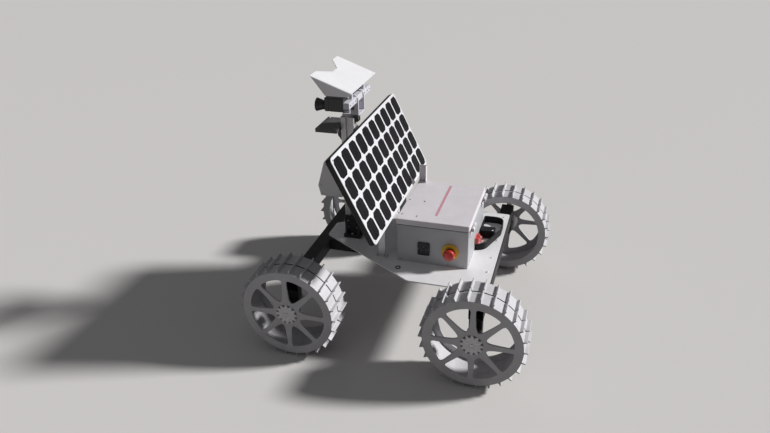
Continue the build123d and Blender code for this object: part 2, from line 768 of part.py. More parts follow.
def cameras():
    """Two camera bodies, each with a lens barrel and a flared, open lens hood."""
    spread = (lens_hood_radius - lens_radius) * math.cos(math.pi / round_sides)
    slope = math.degrees(math.atan(spread / lens_hood_length))
    outline = RegularPolygon(lens_hood_radius, round_sides)
    hollow = RegularPolygon(lens_hood_radius - lens_hood_wall, round_sides)
    flare = extrude(outline, amount=lens_hood_length, taper=slope)
    flare -= extrude(hollow, amount=lens_hood_length - lens_hood_wall, taper=slope)
    mouth = Pos(0, 0, lens_length + lens_hood_length) * Rot(180, 0, 0)
    lens = extrude(RegularPolygon(lens_radius, round_sides), amount=lens_length) + mouth * flare
    for name, side in (("left", 1), ("right", -1)):
        y = side * camera_y
        body = block(camera_rear_x, camera_front_x, y - camera_width / 2, y + camera_width / 2,
                     tilt_z - camera_height / 2, tilt_z + camera_height / 2)
        body = chamfer(body.edges().filter_by(Axis.X), camera_edge)
        save(body + Pos(camera_front_x, y, lens_z) * Rot(0, 90, 0) * lens, f"camera_{name}")


def sun_hood():
    """Sloping sheet with a notched front edge and two side skirts."""
    notch_x = hood_length - hood_notch_depth
    outline = [(0, -hood_half_width), (0, hood_half_width), (hood_length, hood_half_width),
               (hood_length, hood_notch_outer), (notch_x, hood_notch_inner), (notch_x, -hood_notch_inner),
               (hood_length, -hood_notch_outer), (hood_length, -hood_half_width)]
    sheet = extrude(make_face(Polyline(*outline, close=True)), amount=hood_sheet, dir=(0, 0, -1))
    hood = Pos(hood_rear_x, 0, hood_rear_z) * Rot(0, -hood_pitch, 0) * sheet
    front_x = hood_rear_x + hood_length * math.cos(pitch)
    front_z = hood_rear_z + hood_length * math.sin(pitch)
    bottom = tilt_z + skirt_bottom_rise
    skirt = [(hood_rear_x, hood_rear_z), (front_x, front_z), (tilt_x + skirt_front_reach, bottom),
             (tilt_x + skirt_rear_reach, bottom)]
    for side in (1, -1):
        hood += plate_xz(skirt, side * (hood_half_width - hood_sheet), side * hood_half_width)
    save(hood, "sun_hood")


wheels()
drive_units()
chassis()
enclosure()
lid()
controls()
tray()
solar_panel()
panel_posts()
mast()
pan_unit()
camera_bar()
cameras()
sun_hood()
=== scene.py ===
import bpy
import bmesh
import json
import math
import numpy as np
from mathutils import Matrix, Vector

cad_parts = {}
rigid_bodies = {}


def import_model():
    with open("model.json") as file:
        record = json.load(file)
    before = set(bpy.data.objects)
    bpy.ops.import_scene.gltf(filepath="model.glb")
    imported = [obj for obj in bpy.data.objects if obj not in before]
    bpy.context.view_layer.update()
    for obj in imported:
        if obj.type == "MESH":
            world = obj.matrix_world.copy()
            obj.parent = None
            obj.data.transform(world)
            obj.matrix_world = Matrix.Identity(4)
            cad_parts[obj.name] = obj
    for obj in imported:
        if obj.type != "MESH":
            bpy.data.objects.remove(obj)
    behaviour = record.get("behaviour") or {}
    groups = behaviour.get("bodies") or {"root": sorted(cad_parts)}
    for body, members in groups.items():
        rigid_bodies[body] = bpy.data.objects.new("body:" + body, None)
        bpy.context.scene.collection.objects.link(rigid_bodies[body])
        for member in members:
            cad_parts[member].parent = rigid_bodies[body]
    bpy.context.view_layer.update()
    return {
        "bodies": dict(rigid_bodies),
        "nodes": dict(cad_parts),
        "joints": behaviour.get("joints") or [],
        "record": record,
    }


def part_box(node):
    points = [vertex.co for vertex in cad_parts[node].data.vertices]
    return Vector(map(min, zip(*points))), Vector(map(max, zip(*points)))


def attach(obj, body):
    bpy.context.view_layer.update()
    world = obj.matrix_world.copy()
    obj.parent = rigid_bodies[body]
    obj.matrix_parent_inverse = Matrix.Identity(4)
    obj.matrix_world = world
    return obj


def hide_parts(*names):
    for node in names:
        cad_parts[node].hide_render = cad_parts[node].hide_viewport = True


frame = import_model()
nodes = frame["nodes"]
mm = 0.001
print("frame loaded:", len(nodes), "CAD nodes")


# the panel leans forward: its own directions are used by its pieces and by the lines on its cells
panelLean = math.radians(26.0)
panelUp = np.array([math.sin(panelLean), 0, math.cos(panelLean)])
panelFace = np.array([-math.cos(panelLean), 0, math.sin(panelLean)])


# small tools for node trees

# adds a node, sets its own options, then fills its inputs with plain values or links
def wire(tree, kind, options=None, inputs=None):
    node = tree.nodes.new(kind)
    for key, value in (options or {}).items():
        setattr(node, key, value)
    for key, value in (inputs or {}).items():
        if isinstance(value, bpy.types.NodeSocket):
            tree.links.new(value, node.inputs[key])
        else:
            node.inputs[key].default_value = value
    return node


# one step of arithmetic on plain values or links
def sums(tree, operation, a, b=0.0, c=0.0, clamp=False):
    return wire(tree, "ShaderNodeMath", {"operation": operation, "use_clamp": clamp},
                {0: a, 1: b, 2: c}).outputs[0]


# a value stretched from one range to another, held at the ends
def spread(tree, value, low, high, toLow=0.0, toHigh=1.0):
    ends = {"Value": value, "From Min": low, "From Max": high, "To Min": toLow, "To Max": toHigh}
    return wire(tree, "ShaderNodeMapRange", None, ends).outputs[0]


# a at factor 0, b at factor 1
def blendColours(tree, factor, a, b):
    return wire(tree, "ShaderNodeMix", {"data_type": "RGBA"}, {0: factor, 6: a, 7: b}).outputs[2]


def noise(tree, place, often, detail, rough=0.5):
    return wire(tree, "ShaderNodeTexNoise", None,
                {"Vector": place, "Scale": often, "Detail": detail, "Roughness": rough}).outputs[0]


# where a point is, or how far it is along one axis
def placeOf(tree, axis=None):
    place = wire(tree, "ShaderNodeTexCoord").outputs["Object"]
    return wire(tree, "ShaderNodeSeparateXYZ", None, {0: place}).outputs[axis] if axis else place


# starts a shader group with named sockets: inputs as (name, default), outputs as (name, kind)
def startGroup(name, inputs, outputs):
    tree = bpy.data.node_groups.new(name, "ShaderNodeTree")
    for label, default in inputs:
        kind = "NodeSocketColor" if isinstance(default, tuple) else "NodeSocketFloat"
        tree.interface.new_socket(label, in_out="INPUT", socket_type=kind).default_value = default
    for label, kind in outputs:
        tree.interface.new_socket(label, in_out="OUTPUT", socket_type=kind)
    return tree, tree.nodes.new("NodeGroupInput").outputs, tree.nodes.new("NodeGroupOutput").inputs


def useGroup(tree, group, inputs=None):
    return wire(tree, "ShaderNodeGroup", {"node_tree": group}, inputs).outputs


# mesh tools: a shape is one or more grids of points in millimetres, worked out as whole arrays

def ramp(low, high, count, close=True):
    return np.linspace(low, high, count, endpoint=close)


# arrows shortened or stretched to a length of one
def unit(ways):
    return ways / np.maximum(np.linalg.norm(ways, axis=-1, keepdims=True), 1e-9)


# lowest and highest corner of a CAD node, in millimetres
def boxOf(node):
    low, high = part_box(node)
    return np.array(low) / mm, np.array(high) / mm


# numbers a grid of points shaped (rows, columns, 3) and joins them into quads, wrapping round where asked
def sheetOf(points, wrapRows=False, wrapColumns=False, mark=0):
    rows, columns = points.shape[:2]
    index = np.arange(rows * columns).reshape(rows, columns)
    if wrapRows:
        index = np.vstack([index, index[:1]])
    if wrapColumns:
        index = np.hstack([index, index[:, :1]])
    quads = np.stack([index[:-1, :-1], index[:-1, 1:], index[1:, 1:], index[1:, :-1]], -1)
    return points.reshape(-1, 3), quads.reshape(-1, 4), mark


# many grids alike at once: points shaped (copies, rows, columns, 3)
def sheetsOf(points, wrapRows=False, wrapColumns=False, mark=0):
    quads = sheetOf(points[0], wrapRows, wrapColumns)[1]
    shift = (np.arange(len(points)) * points[0].size // 3)[:, None, None]
    return points.reshape(-1, 3), (quads[None] + shift).reshape(-1, 4), mark


# closes a flat outline: rings shrink towards its middle where every ray from there meets it once, and
# otherwise it is one flat face
def capOf(points, mark=0):
    middle = points.mean(0)
    ray = points - middle
    turn = np.cross(ray, np.roll(ray, -1, 0))
    if (turn @ turn[np.argmax(np.linalg.norm(turn, axis=1))] >= -1e-6).all():
        shrunk = middle + ray * np.array([1.0, 0.9, 0.45, 0.0])[:, None, None]
        return sheetOf(shrunk, wrapColumns=True, mark=mark)
    return points.reshape(-1, 3), np.arange(len(points))[None], mark


# turns sheets about Z, then shifts them
def moved(sheets, shift, turn=0.0):
    c, s = math.cos(math.radians(turn)), math.sin(math.radians(turn))
    spin = np.array([[c, s, 0], [-s, c, 0], [0, 0, 1]])
    return [(points @ spin + np.array(shift), faces, mark) for points, faces, mark in sheets]


# joins sheets into one mesh, closes seams and poles, and points every face outwards
def makePiece(name, sheets, finish, body, replaced=(), crease=32.0):
    corners, faces, marks, start = [], [], [], 0
    for points, some, mark in sheets:
        corners.append(points * mm)
        faces += (some + start).tolist()
        marks.append(np.full(len(some), mark))
        start += len(points)
    mesh = bpy.data.meshes.new(name)
    mesh.from_pydata(np.vstack(corners).tolist(), [], faces)
    mesh.polygons.foreach_set("material_index", np.concatenate(marks).astype(np.int32))
    shape = bmesh.new()
    shape.from_mesh(mesh)
    bmesh.ops.remove_doubles(shape, verts=shape.verts, dist=0.01 * mm)
    bmesh.ops.dissolve_degenerate(shape, edges=shape.edges, dist=0.004 * mm)
    bmesh.ops.recalc_face_normals(shape, faces=shape.faces)
    shape.to_mesh(mesh)
    shape.free()
    for one in (finish if isinstance(finish, tuple) else (finish,)):
        mesh.materials.append(materials[one])
    mesh.shade_smooth()
    mesh.set_sharp_from_angle(angle=math.radians(crease))
    piece = bpy.data.objects.new(name, mesh)
    bpy.context.scene.collection.objects.link(piece)
    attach(piece, body)
    if replaced:
        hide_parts(*replaced)
    return piece


# a box with rounded edges: each point of a cube is drawn in by the radius and pushed back out along
# its own direction, so edges become quarter rounds and corners eighths of a ball
def easedBox(low, high, radius, mark=0):
    low, high = np.minimum(low, high).astype(float), np.maximum(low, high).astype(float)
    half, middle = (high - low) / 2, (low + high) / 2
    radius = min(radius, half.min() * 0.98)
    corner = np.append(radius * np.tan(np.radians([45.0, 30.0, 15.0, 0.0])),
                       -min(0.6 * radius, 0.4 * (half.min() - radius)))
    sheets = []
    for axis in range(3):
        across, along = [i for i in range(3) if i != axis]
        stations = [np.concatenate([-(half[i] - radius) - corner, (half[i] - radius) + corner[::-1]])
                    for i in (across, along)]
        u, v = np.meshgrid(*stations, indexing="ij")
        for side in (-1, 1):
            cube = np.zeros(u.shape + (3,))
            cube[..., axis], cube[..., across], cube[..., along] = side * half[axis], u, v
            inner = np.clip(cube, radius - half, half - radius)
            sheets.append(sheetOf(middle + inner + unit(cube - inner) * radius, mark=mark))
    return sheets


# a profile of (radius, along) swept round a line: radius times cosine and sine of the angle, and along
def swept(profile, count, sign=1):
    profile = np.array(profile, float)
    angle = ramp(0, 2 * math.pi, count, False)
    return (profile[:, 0, None] * np.cos(angle), profile[:, 0, None] * np.sin(angle),
            sign * profile[:, 1, None] + 0 * angle)


# the same with its line pointing along x, y or z
def sweptAlong(way, profile, count, sign=1):
    a, b, along = swept(profile, count, sign)
    return np.stack({"x": (along, a, b), "y": (a, along, b), "z": (a, b, along)}[way], -1)


# a turned piece with its line through a place
def turned(profile, place, way="z", count=48, mark=0, sign=1):
    points = sweptAlong(way, profile, count, sign) + np.array(place, float)
    return sheetOf(points, wrapColumns=True, mark=mark)


# rounds the corners of a profile: each corner becomes a short curve that leaves one side and meets the next
def eased(profile, radius, steps=4, closed=False):
    profile = np.array(profile, float)
    toBefore, toAfter = np.roll(profile, 1, 0) - profile, np.roll(profile, -1, 0) - profile
    lengthBefore = np.maximum(np.linalg.norm(toBefore, axis=1, keepdims=True), 1e-9)
    lengthAfter = np.maximum(np.linalg.norm(toAfter, axis=1, keepdims=True), 1e-9)
    u, v = toBefore / lengthBefore, toAfter / lengthAfter
    halfAngle = np.arccos(np.clip((u * v).sum(1, keepdims=True), -0.9999, 0.9999)) / 2
    wanted = np.broadcast_to(np.asarray(radius, float).reshape(-1, 1), lengthAfter.shape) / np.tan(halfAngle)
    reach = np.minimum(wanted, 0.48 * np.minimum(lengthBefore, lengthAfter))
    t = ramp(0, 1, steps + 1)[None, :, None]
    bow = ((1 - t) ** 2 * (profile + u * reach)[:, None] + 2 * t * (1 - t) * profile[:, None]
           + t ** 2 * (profile + v * reach)[:, None])
    if closed:
        return bow.reshape(-1, 2)
    return np.vstack([profile[:1], bow[1:-1].reshape(-1, 2), profile[-1:]])


# the outline of a box with rounded corners
def roundedBox(low, high, corner, steps=8):
    corners = [(low[0], low[1]), (high[0], low[1]), (high[0], high[1]), (low[0], high[1])]
    return eased(corners, corner, steps, True)


# rings of a closed outline: each (inset, height) of the profile gives the outline drawn in by the inset
# along its mitred corners; the first and last ring are closed with a flat face
def walled(outline, profile, frame, mark=0, closed=False):
    outline, profile = np.array(outline, float), np.array(profile, float)
    here, after = unit(outline - np.roll(outline, 1, 0)), unit(np.roll(outline, -1, 0) - outline)
    a, b = outline[:, 0], outline[:, 1]
    turn = np.sign((a * np.roll(b, -1) - b * np.roll(a, -1)).sum())
    both = here + after
    mitre = np.maximum(1 + (here * after).sum(1), 0.3)[:, None]
    inward = turn * np.stack([-both[:, 1], both[:, 0]], -1) / mitre
    rows = outline[None] + inward[None] * profile[:, 0, None, None]
    heights = np.broadcast_to(profile[:, 1, None], rows.shape[:2])[..., None]
    points = frame(np.concatenate([rows, heights], -1))
    if closed:
        return [sheetOf(points, wrapRows=True, wrapColumns=True, mark=mark)]
    return [sheetOf(points, wrapColumns=True, mark=mark), capOf(points[0], mark), capOf(points[-1], mark)]


# a profile that is the same at both ends of a length
def bothEnds(near, length):
    return near + [(inset, length - along) for inset, along in near[::-1]]


# an outline (n, 2) given a thickness, with quarter rounds of radius ease along both edges
def slab(outline, thickness, ease, frame, mark=0):
    bend = np.radians([0.0, 30.0, 60.0, 90.0])
    inset = np.concatenate([[1.5], 1 - np.sin(bend), 1 - np.sin(bend[::-1]), [1.5]]) * ease
    rise = ease * (1 - np.cos(bend))
    height = np.concatenate([[0], rise, thickness - rise[::-1], [thickness]])
    return walled(outline, np.stack([inset, height], -1), frame, mark)


# a shell from one grid of points: a second grid lies behind it by the thickness, along the normals of
# the first, and four strips close the borders
def shellOf(points, thickness, mark=0):
    normal = unit(np.cross(np.gradient(points, axis=0), np.gradient(points, axis=1)))
    back = points + thickness * normal
    sheets = [sheetOf(points, mark=mark), sheetOf(back, mark=mark)]
    for line in ((0, slice(None)), (-1, slice(None)), (slice(None), 0), (slice(None), -1)):
        sheets.append(sheetOf(np.stack([points[line], back[line]]), mark=mark))
    return sheets


# one turned shape copied to each place
def copies(one, places, mark=0):
    return [sheetsOf(one[None] + np.array(places, float)[:, None, None, :], wrapColumns=True, mark=mark)]


# round-headed screws with a socket: size is the head's radius and height
def screwSheets(places, size, way="z", sign=1, mark=0, sides=16):
    radius, height = size
    low = min(height, 0.2) - 0.6
    profile = np.array([(0, low), (0.5, low), (0.5, height), (0.78, height), (0.95, 0.55 * height),
                        (1.0, 0.0), (1.0, -0.4), (0, -0.4)])
    return copies(sweptAlong(way, profile * [radius, 1], sides, sign), places, mark)


# how an outline stands: its two directions and its height are put along x, y and z, and the height is
# counted from a given level, upwards or downwards
def standing(way, level, sign=1):
    order = {"x": (2, 0, 1), "y": (0, 2, 1), "z": (0, 1, 2)}[way]

    def frameIt(points):
        lifted = points * np.array([1, 1, sign]) + np.array([0, 0, level])
        return lifted[..., list(order)]
    return frameIt


# effects shared by the finishes

# fine bumps all over: two sizes of noise added together
def makeGrainGroup():
    tree, given, out = startGroup("fineGrain", [("Size", 0.002), ("Depth", 1.0)],
                                  [("Height", "NodeSocketFloat"), ("Mask", "NodeSocketFloat")])
    place = placeOf(tree)
    often = sums(tree, "DIVIDE", 1.0, given["Size"])
    fine = noise(tree, place, often, 3.0)
    broad = noise(tree, place, sums(tree, "MULTIPLY", often, 0.23), 2.0)
    both = sums(tree, "MULTIPLY_ADD", broad, 0.6, fine)
    tree.links.new(sums(tree, "MULTIPLY", both, given["Depth"]), out["Height"])
    tree.links.new(both, out["Mask"])
    return tree


# slow drift of shade from place to place, as on any coated or moulded surface
def makeDriftGroup():
    tree, given, out = startGroup("shadeDrift", [("Size", 0.08)], [("Mask", "NodeSocketFloat")])
    often = sums(tree, "DIVIDE", 1.0, given["Size"])
    slow = wire(tree, "ShaderNodeTexNoise", {"noise_dimensions": "4D"},
                {"Vector": placeOf(tree), "W": 0.0, "Scale": often, "Detail": 4.0, "Roughness": 0.55})
    tree.links.new(spread(tree, slow.outputs[0], 0.3, 0.7), out["Mask"])
    return tree


# pale dust: more where the surface faces up, more near the ground, broken up by noise
def makeDustGroup():
    tree, given, out = startGroup("settledDust", [("Amount", 0.3), ("Low", 0.3)],
                                  [("Mask", "NodeSocketFloat")])
    place, height = placeOf(tree), placeOf(tree, "Z")
    normal = wire(tree, "ShaderNodeTexCoord").outputs["Normal"]
    facing = wire(tree, "ShaderNodeSeparateXYZ", None, {0: normal}).outputs["Z"]
    up = spread(tree, facing, -0.2, 1.0, 0.15, 1.0)
    low = spread(tree, height, 0.0, 0.42, given["Low"], 0.0)
    patch = spread(tree, noise(tree, place, 38.0, 8.0, 0.7), 0.38, 0.72)
    speck = spread(tree, noise(tree, place, 900.0, 2.0), 0.35, 0.65, 0.45, 1.0)
    broken = sums(tree, "MULTIPLY", patch, speck)
    amount = sums(tree, "MULTIPLY_ADD", given["Amount"], up, low)
    tree.links.new(sums(tree, "MULTIPLY", broken, amount, clamp=True), out["Mask"])
    return tree


# rounded-over edges in the shading, and a mask of where the edges are
def makeEdgeGroup():
    tree, given, out = startGroup("softEdges", [("Radius", 0.001)],
                                  [("Normal", "NodeSocketVector"), ("Mask", "NodeSocketFloat")])
    soft = wire(tree, "ShaderNodeBevel", {"samples": 4}, {"Radius": given["Radius"]}).outputs[0]
    flat = wire(tree, "ShaderNodeNewGeometry").outputs["Normal"]
    alike = wire(tree, "ShaderNodeVectorMath", {"operation": "DOT_PRODUCT"},
                 {0: soft, 1: flat}).outputs["Value"]
    tree.links.new(soft, out["Normal"])
    tree.links.new(spread(tree, alike, 0.985, 0.8), out["Mask"])
    return tree


# thin print layers stacked along one axis of the object
def makeLayerGroup():
    tree, given, out = startGroup("printLayers", [("Pitch", 0.0005)], [("Height", "NodeSocketFloat")])
    turn = sums(tree, "DIVIDE", placeOf(tree, "Y"), given["Pitch"])
    wave = sums(tree, "SINE", sums(tree, "MULTIPLY", turn, 2 * math.pi))
    tree.links.new(spread(tree, wave, -1.0, 1.0), out["Height"])
    return tree


# conductors printed on solar cells: place is split into steps along two directions of the panel, and a
# line is drawn wherever the distance from a line's middle is under half its width
def makeCellGroup():
    sizes = [("Pitch", 0.0644), ("BusbarAt", 0.0125), ("BusbarHalf", 0.0006), ("FingerPitch", 0.0021),
             ("FingerHalf", 0.00016)]
    tree, given, out = startGroup("cellLines", sizes, [("Mask", "NodeSocketFloat")])
    across = placeOf(tree, "Y")
    up = wire(tree, "ShaderNodeVectorMath", {"operation": "DOT_PRODUCT"},
              {0: placeOf(tree), 1: tuple(panelUp)}).outputs["Value"]

    def line(value, pitch, at, half):
        turn = sums(tree, "WRAP", value, pitch)
        middle = sums(tree, "ABSOLUTE", sums(tree, "SUBTRACT", turn, sums(tree, "MULTIPLY", pitch, 0.5)))
        off = sums(tree, "ABSOLUTE", sums(tree, "SUBTRACT", middle, at))
        return sums(tree, "LESS_THAN", off, half)

    busbar = line(across, given["Pitch"], given["BusbarAt"], given["BusbarHalf"])
    finger = line(up, given["FingerPitch"], 0.0, given["FingerHalf"])
    tree.links.new(sums(tree, "MAXIMUM", busbar, sums(tree, "MULTIPLY", finger, 0.45)), out["Mask"])
    return tree


grainGroup = makeGrainGroup()
driftGroup = makeDriftGroup()
dustGroup = makeDustGroup()
edgeGroup = makeEdgeGroup()
layerGroup = makeLayerGroup()
cellGroup = makeCellGroup()
dustColour = (0.42, 0.37, 0.33, 1.0)
driftSize = 0.07
softEdge = 0.8 * mm


# one finish: base colour that drifts towards a second shade, wear on edges, dust, grain and soft edges
def makeFinish(name, look):
    material = bpy.data.materials.new(name)
    material.use_nodes = True
    tree = material.node_tree
    shader = tree.nodes["Principled BSDF"]
    drift = useGroup(tree, driftGroup, {"Size": driftSize})["Mask"]
    edge = useGroup(tree, edgeGroup, {"Radius": softEdge})
    grain = useGroup(tree, grainGroup, {"Size": look.get("grainSize", 0.9 * mm)})
    dust = useGroup(tree, dustGroup, {"Amount": look["dust"], "Low": look.get("lowDust", 0.35)})["Mask"]
    colour = blendColours(tree, drift, (*look["colour"], 1.0), (*look["second"], 1.0))
    if "worn" in look:
        bare = spread(tree, grain["Mask"], 0.75, 0.95)
        wear = sums(tree, "MULTIPLY", edge["Mask"], bare, clamp=True)
        wear = sums(tree, "MULTIPLY", wear, look.get("wear", 0.7))
        colour = blendColours(tree, wear, colour, (*look["worn"], 1.0))
    if "lines" in look:
        colour = blendColours(tree, useGroup(tree, cellGroup)["Mask"], colour, (*look["lines"], 1.0))
    colour = blendColours(tree, dust, colour, dustColour)
    tree.links.new(colour, shader.inputs["Base Color"])
    rough = spread(tree, grain["Mask"], 0.4, 1.2, look["rough"] - 0.06, look["rough"] + 0.06)
    rough = sums(tree, "MAXIMUM", rough, sums(tree, "MULTIPLY", dust, 0.85))
    tree.links.new(rough, shader.inputs["Roughness"])
    height = grain["Height"]
    if "layers" in look:
        lines = useGroup(tree, layerGroup, {"Pitch": look["layers"]})["Height"]
        height = sums(tree, "ADD", lines, height)
    bump = wire(tree, "ShaderNodeBump", None,
                {"Height": height, "Normal": edge["Normal"], "Distance": look.get("depth", 0.05 * mm),
                 "Strength": look.get("bump", 0.5)})
    tree.links.new(bump.outputs[0], shader.inputs["Normal"])
    plain = {"Metallic": look.get("metal", 0.0), "Specular IOR Level": look.get("shine", 0.5),
             "Coat Weight": look.get("coat", 0.0), "Coat Roughness": look.get("coatRough", 0.2),
             "Subsurface Weight": look.get("glow", 0.0), "Subsurface Radius": (1.0, 1.0, 1.0),
             "Subsurface Scale": look.get("glowDeep", 5.0 * mm)}
    for socket, value in plain.items():
        shader.inputs[socket].default_value = value
    return material


# colours are linear; worn is what shows where an edge has lost its coat
finishes = {
    "whitePaint": {"colour": (0.87, 0.86, 0.87), "second": (0.81, 0.80, 0.81), "rough": 0.42, "coat": 0.15,
                   "dust": 0.10, "lowDust": 0.20, "worn": (0.45, 0.45, 0.46), "wear": 0.35},
    # the box's grey is set darker than the lid's paint: painted shade for the box's shaded near wall, over
    # its own light grey; the lid's hinge leaves share it
    "boxGreyWithPaintedShade": {"colour": (0.50, 0.51, 0.53), "second": (0.45, 0.46, 0.48), "rough": 0.48, "dust": 0.12,
                  "grainSize": 1.3 * mm, "depth": 0.08 * mm, "worn": (0.3, 0.3, 0.31), "wear": 0.3},
    "lidPaint": {"colour": (0.77, 0.73, 0.76), "second": (0.71, 0.67, 0.70), "rough": 0.45, "dust": 0.1,
                 "grainSize": 1.3 * mm, "depth": 0.08 * mm, "worn": (0.3, 0.3, 0.31), "wear": 0.3},
    "blackPaint": {"colour": (0.020, 0.020, 0.021), "second": (0.028, 0.027, 0.028), "rough": 0.5,
                   "shine": 0.25, "dust": 0.08, "lowDust": 0.12, "grainSize": 1.3 * mm, "depth": 0.08 * mm,
                   "worn": (0.25, 0.25, 0.26)},
    "darkPaint": {"colour": (0.07, 0.07, 0.075), "second": (0.09, 0.09, 0.095), "rough": 0.5, "dust": 0.2,
                  "worn": (0.3, 0.3, 0.31)},
    "blackPlastic": {"colour": (0.018, 0.018, 0.019), "second": (0.025, 0.025, 0.026), "rough": 0.4,
                     "shine": 0.3, "dust": 0.08, "lowDust": 0.12, "grainSize": 0.6 * mm},
    "steel": {"colour": (0.42, 0.42, 0.43), "second": (0.34, 0.34, 0.36), "rough": 0.34, "metal": 1.0,
              "dust": 0.15, "grainSize": 0.5 * mm},
    "aluminium": {"colour": (0.72, 0.71, 0.71), "second": (0.66, 0.65, 0.65), "rough": 0.42, "metal": 0.4,
                  "dust": 0.10, "grainSize": 0.5 * mm},
    "yellowPlastic": {"colour": (0.82, 0.50, 0.02), "second": (0.75, 0.44, 0.02), "rough": 0.35, "dust": 0.1},
    "redPlastic": {"colour": (0.60, 0.02, 0.015), "second": (0.50, 0.018, 0.015), "rough": 0.3, "coat": 0.3,
                   "dust": 0.1},
    "panelWhite": {"colour": (0.78, 0.78, 0.80), "second": (0.72, 0.72, 0.76), "rough": 0.3, "coat": 0.5,
                   "dust": 0.15, "lowDust": 0.0},
    "hoodWhite": {"colour": (0.88, 0.87, 0.89), "second": (0.83, 0.82, 0.84), "rough": 0.42, "dust": 0.06,
                  "glow": 0.5, "glowDeep": 4.0 * mm},
    "cameraBlack": {"colour": (0.018, 0.018, 0.019), "second": (0.026, 0.026, 0.028), "rough": 0.42,
                    "dust": 0.12, "grainSize": 0.5 * mm},
    "printedPlastic": {"colour": (0.60, 0.595, 0.62), "second": (0.53, 0.525, 0.55), "rough": 0.55,
                       "dust": 0.3, "lowDust": 0.5, "layers": 0.5 * mm, "depth": 0.07 * mm, "bump": 0.35},
    "hubWhite": {"colour": (0.88, 0.87, 0.88), "second": (0.83, 0.82, 0.83), "rough": 0.4, "dust": 0.08},
    "deepBlack": {"colour": (0.010, 0.010, 0.011), "second": (0.016, 0.016, 0.017), "rough": 0.5,
                  "shine": 0.2, "dust": 0.02, "lowDust": 0.0, "grainSize": 0.6 * mm},
    "headWhite": {"colour": (0.66, 0.65, 0.70), "second": (0.58, 0.57, 0.62), "rough": 0.42, "dust": 0.12},
    "boardDark": {"colour": (0.022, 0.021, 0.022), "second": (0.032, 0.031, 0.032), "rough": 0.5,
                  "shine": 0.25, "dust": 0.06, "lowDust": 0.0},
    "steelDark": {"colour": (0.16, 0.16, 0.17), "second": (0.12, 0.12, 0.13), "rough": 0.42, "metal": 0.9,
                  "dust": 0.2, "grainSize": 0.5 * mm},
    "paleRed": {"colour": (0.72, 0.30, 0.30), "second": (0.62, 0.22, 0.22), "rough": 0.35, "dust": 0.1},
    "stripeRed": {"colour": (0.60, 0.27, 0.32), "second": (0.66, 0.34, 0.39), "rough": 0.5, "dust": 0.15},
    "lensGlass": {"colour": (0.006, 0.007, 0.012), "second": (0.012, 0.01, 0.02), "rough": 0.09, "coat": 1.0,
                  "coatRough": 0.03, "dust": 0.03, "lowDust": 0.0, "bump": 0.02},
    "cellBlue": {"colour": (0.006, 0.0055, 0.007), "second": (0.009, 0.008, 0.010), "rough": 0.36,
                 "shine": 0.06, "dust": 0.015, "lowDust": 0.0, "lines": (0.028, 0.027, 0.028), "bump": 0.15},
}
materials = {name: makeFinish(name, look) for name, look in finishes.items()}
print("finishes made:", len(materials))

# the CAD nodes that stay in sight; every other node is replaced by a piece below
finishOfNode = {"deck_plate": "whitePaint", "cross_beams": "blackPaint", "side_rails": "blackPaint",
                "battery_pack": "blackPlastic"}


def dressNodes():
    for name, finish in finishOfNode.items():
        nodes[name].data.materials.clear()
        nodes[name].data.materials.append(materials[finish])


dressNodes()
print("CAD nodes dressed")


# wheels: a turned drum, window strips that make the spokes, split lugs, and a rayed hub

wheelLook = {
    "wall": 4.0, "faceWall": 6.0, "edge": 0.9, "lipInner": 124.0, "lipWall": 4.0,
    "seam": 2.8, "seamHalf": 2.3, "seamInside": 0.6,
    "lugCount": 26, "lugHeight": 12.0, "lugHalf": 2.0, "lugGap": 2.3, "flare": 1.5, "flareFade": 0.9,
    "spokes": 8, "spokeRim": 13.0, "spokeHub": 22.0, "hubBlock": 46.0, "bore": 15.0,
    "windowMiddle": 95.0, "roundness": 7.5, "perSector": 16, "alongSpoke": 10, "aroundBore": 4, "border": 2.0,
}


# the drum: profiles of (radius, along the axle) turned round, with a groove outside whose faces are black,
# painted shade for the narrow gap between the drum's halves, and a seam inside
def drumSheets(radius, half):
    w = wheelLook
    inner, face, lip = radius - w["wall"], half - w["faceWall"], w["lipWall"] - half
    gap, deep = w["seamHalf"], radius - w["seam"]
    near = [(radius - w["border"], half), (radius, half), (radius, gap)]
    # the groove's faces take the second finish, black: painted shade in the gap
    groove = [(radius, gap), (deep, gap - 0.2), (deep, 0.2 - gap), (radius, -gap)]
    far = [(radius, -gap), (radius, -half), (w["lipInner"], -half), (w["lipInner"], lip), (inner, lip),
           (inner, -gap), (inner + w["seamInside"], 0), (inner, gap), (inner, face)]
    parts = ((near, [0, w["edge"], 0], 0), (groove, 0.2, 1),
             (far, [0, w["edge"], w["edge"], w["edge"], 2.0, 0.2, 0.2, 0.2, 0], 0))
    return [turned(eased(profile, easing), (0, 0, 0), "y", w["spokes"] * w["perSector"], mark)
            for profile, easing, mark in parts]


# how far a window reaches from its middle in each direction: the soft minimum of its distances to
# the two spokes, the rim circle and the hub, which rounds the corners
def windowReach(angle):
    w = wheelLook
    half = math.pi / w["spokes"]
    middle = w["windowMiddle"]

    def besideSpoke(radius, width):
        along = math.sqrt(radius ** 2 - (width / 2) ** 2)
        return (along * math.cos(half) + width / 2 * math.sin(half),
                along * math.sin(half) - width / 2 * math.cos(half))

    (x0, y0), (x1, y1) = besideSpoke(w["hubBlock"], w["spokeHub"]), besideSpoke(w["lipInner"], w["spokeRim"])
    normal = np.array([-(y1 - y0), x1 - x0]) / math.hypot(x1 - x0, y1 - y0)
    off = normal @ np.array([x0 - middle, y0])
    c, s = np.cos(angle), np.abs(np.sin(angle))
    toSpoke = np.maximum(normal[0] * c + normal[1] * s, 1e-6) / off
    toHub = np.maximum(-c, 1e-6) / (middle - x0)
    toRim = 1 / (-middle * c + np.sqrt((middle * c) ** 2 + w["lipInner"] ** 2 - middle ** 2))
    power = w["roundness"]
    return (toSpoke ** power + toHub ** power + toRim ** power) ** (-1 / power)


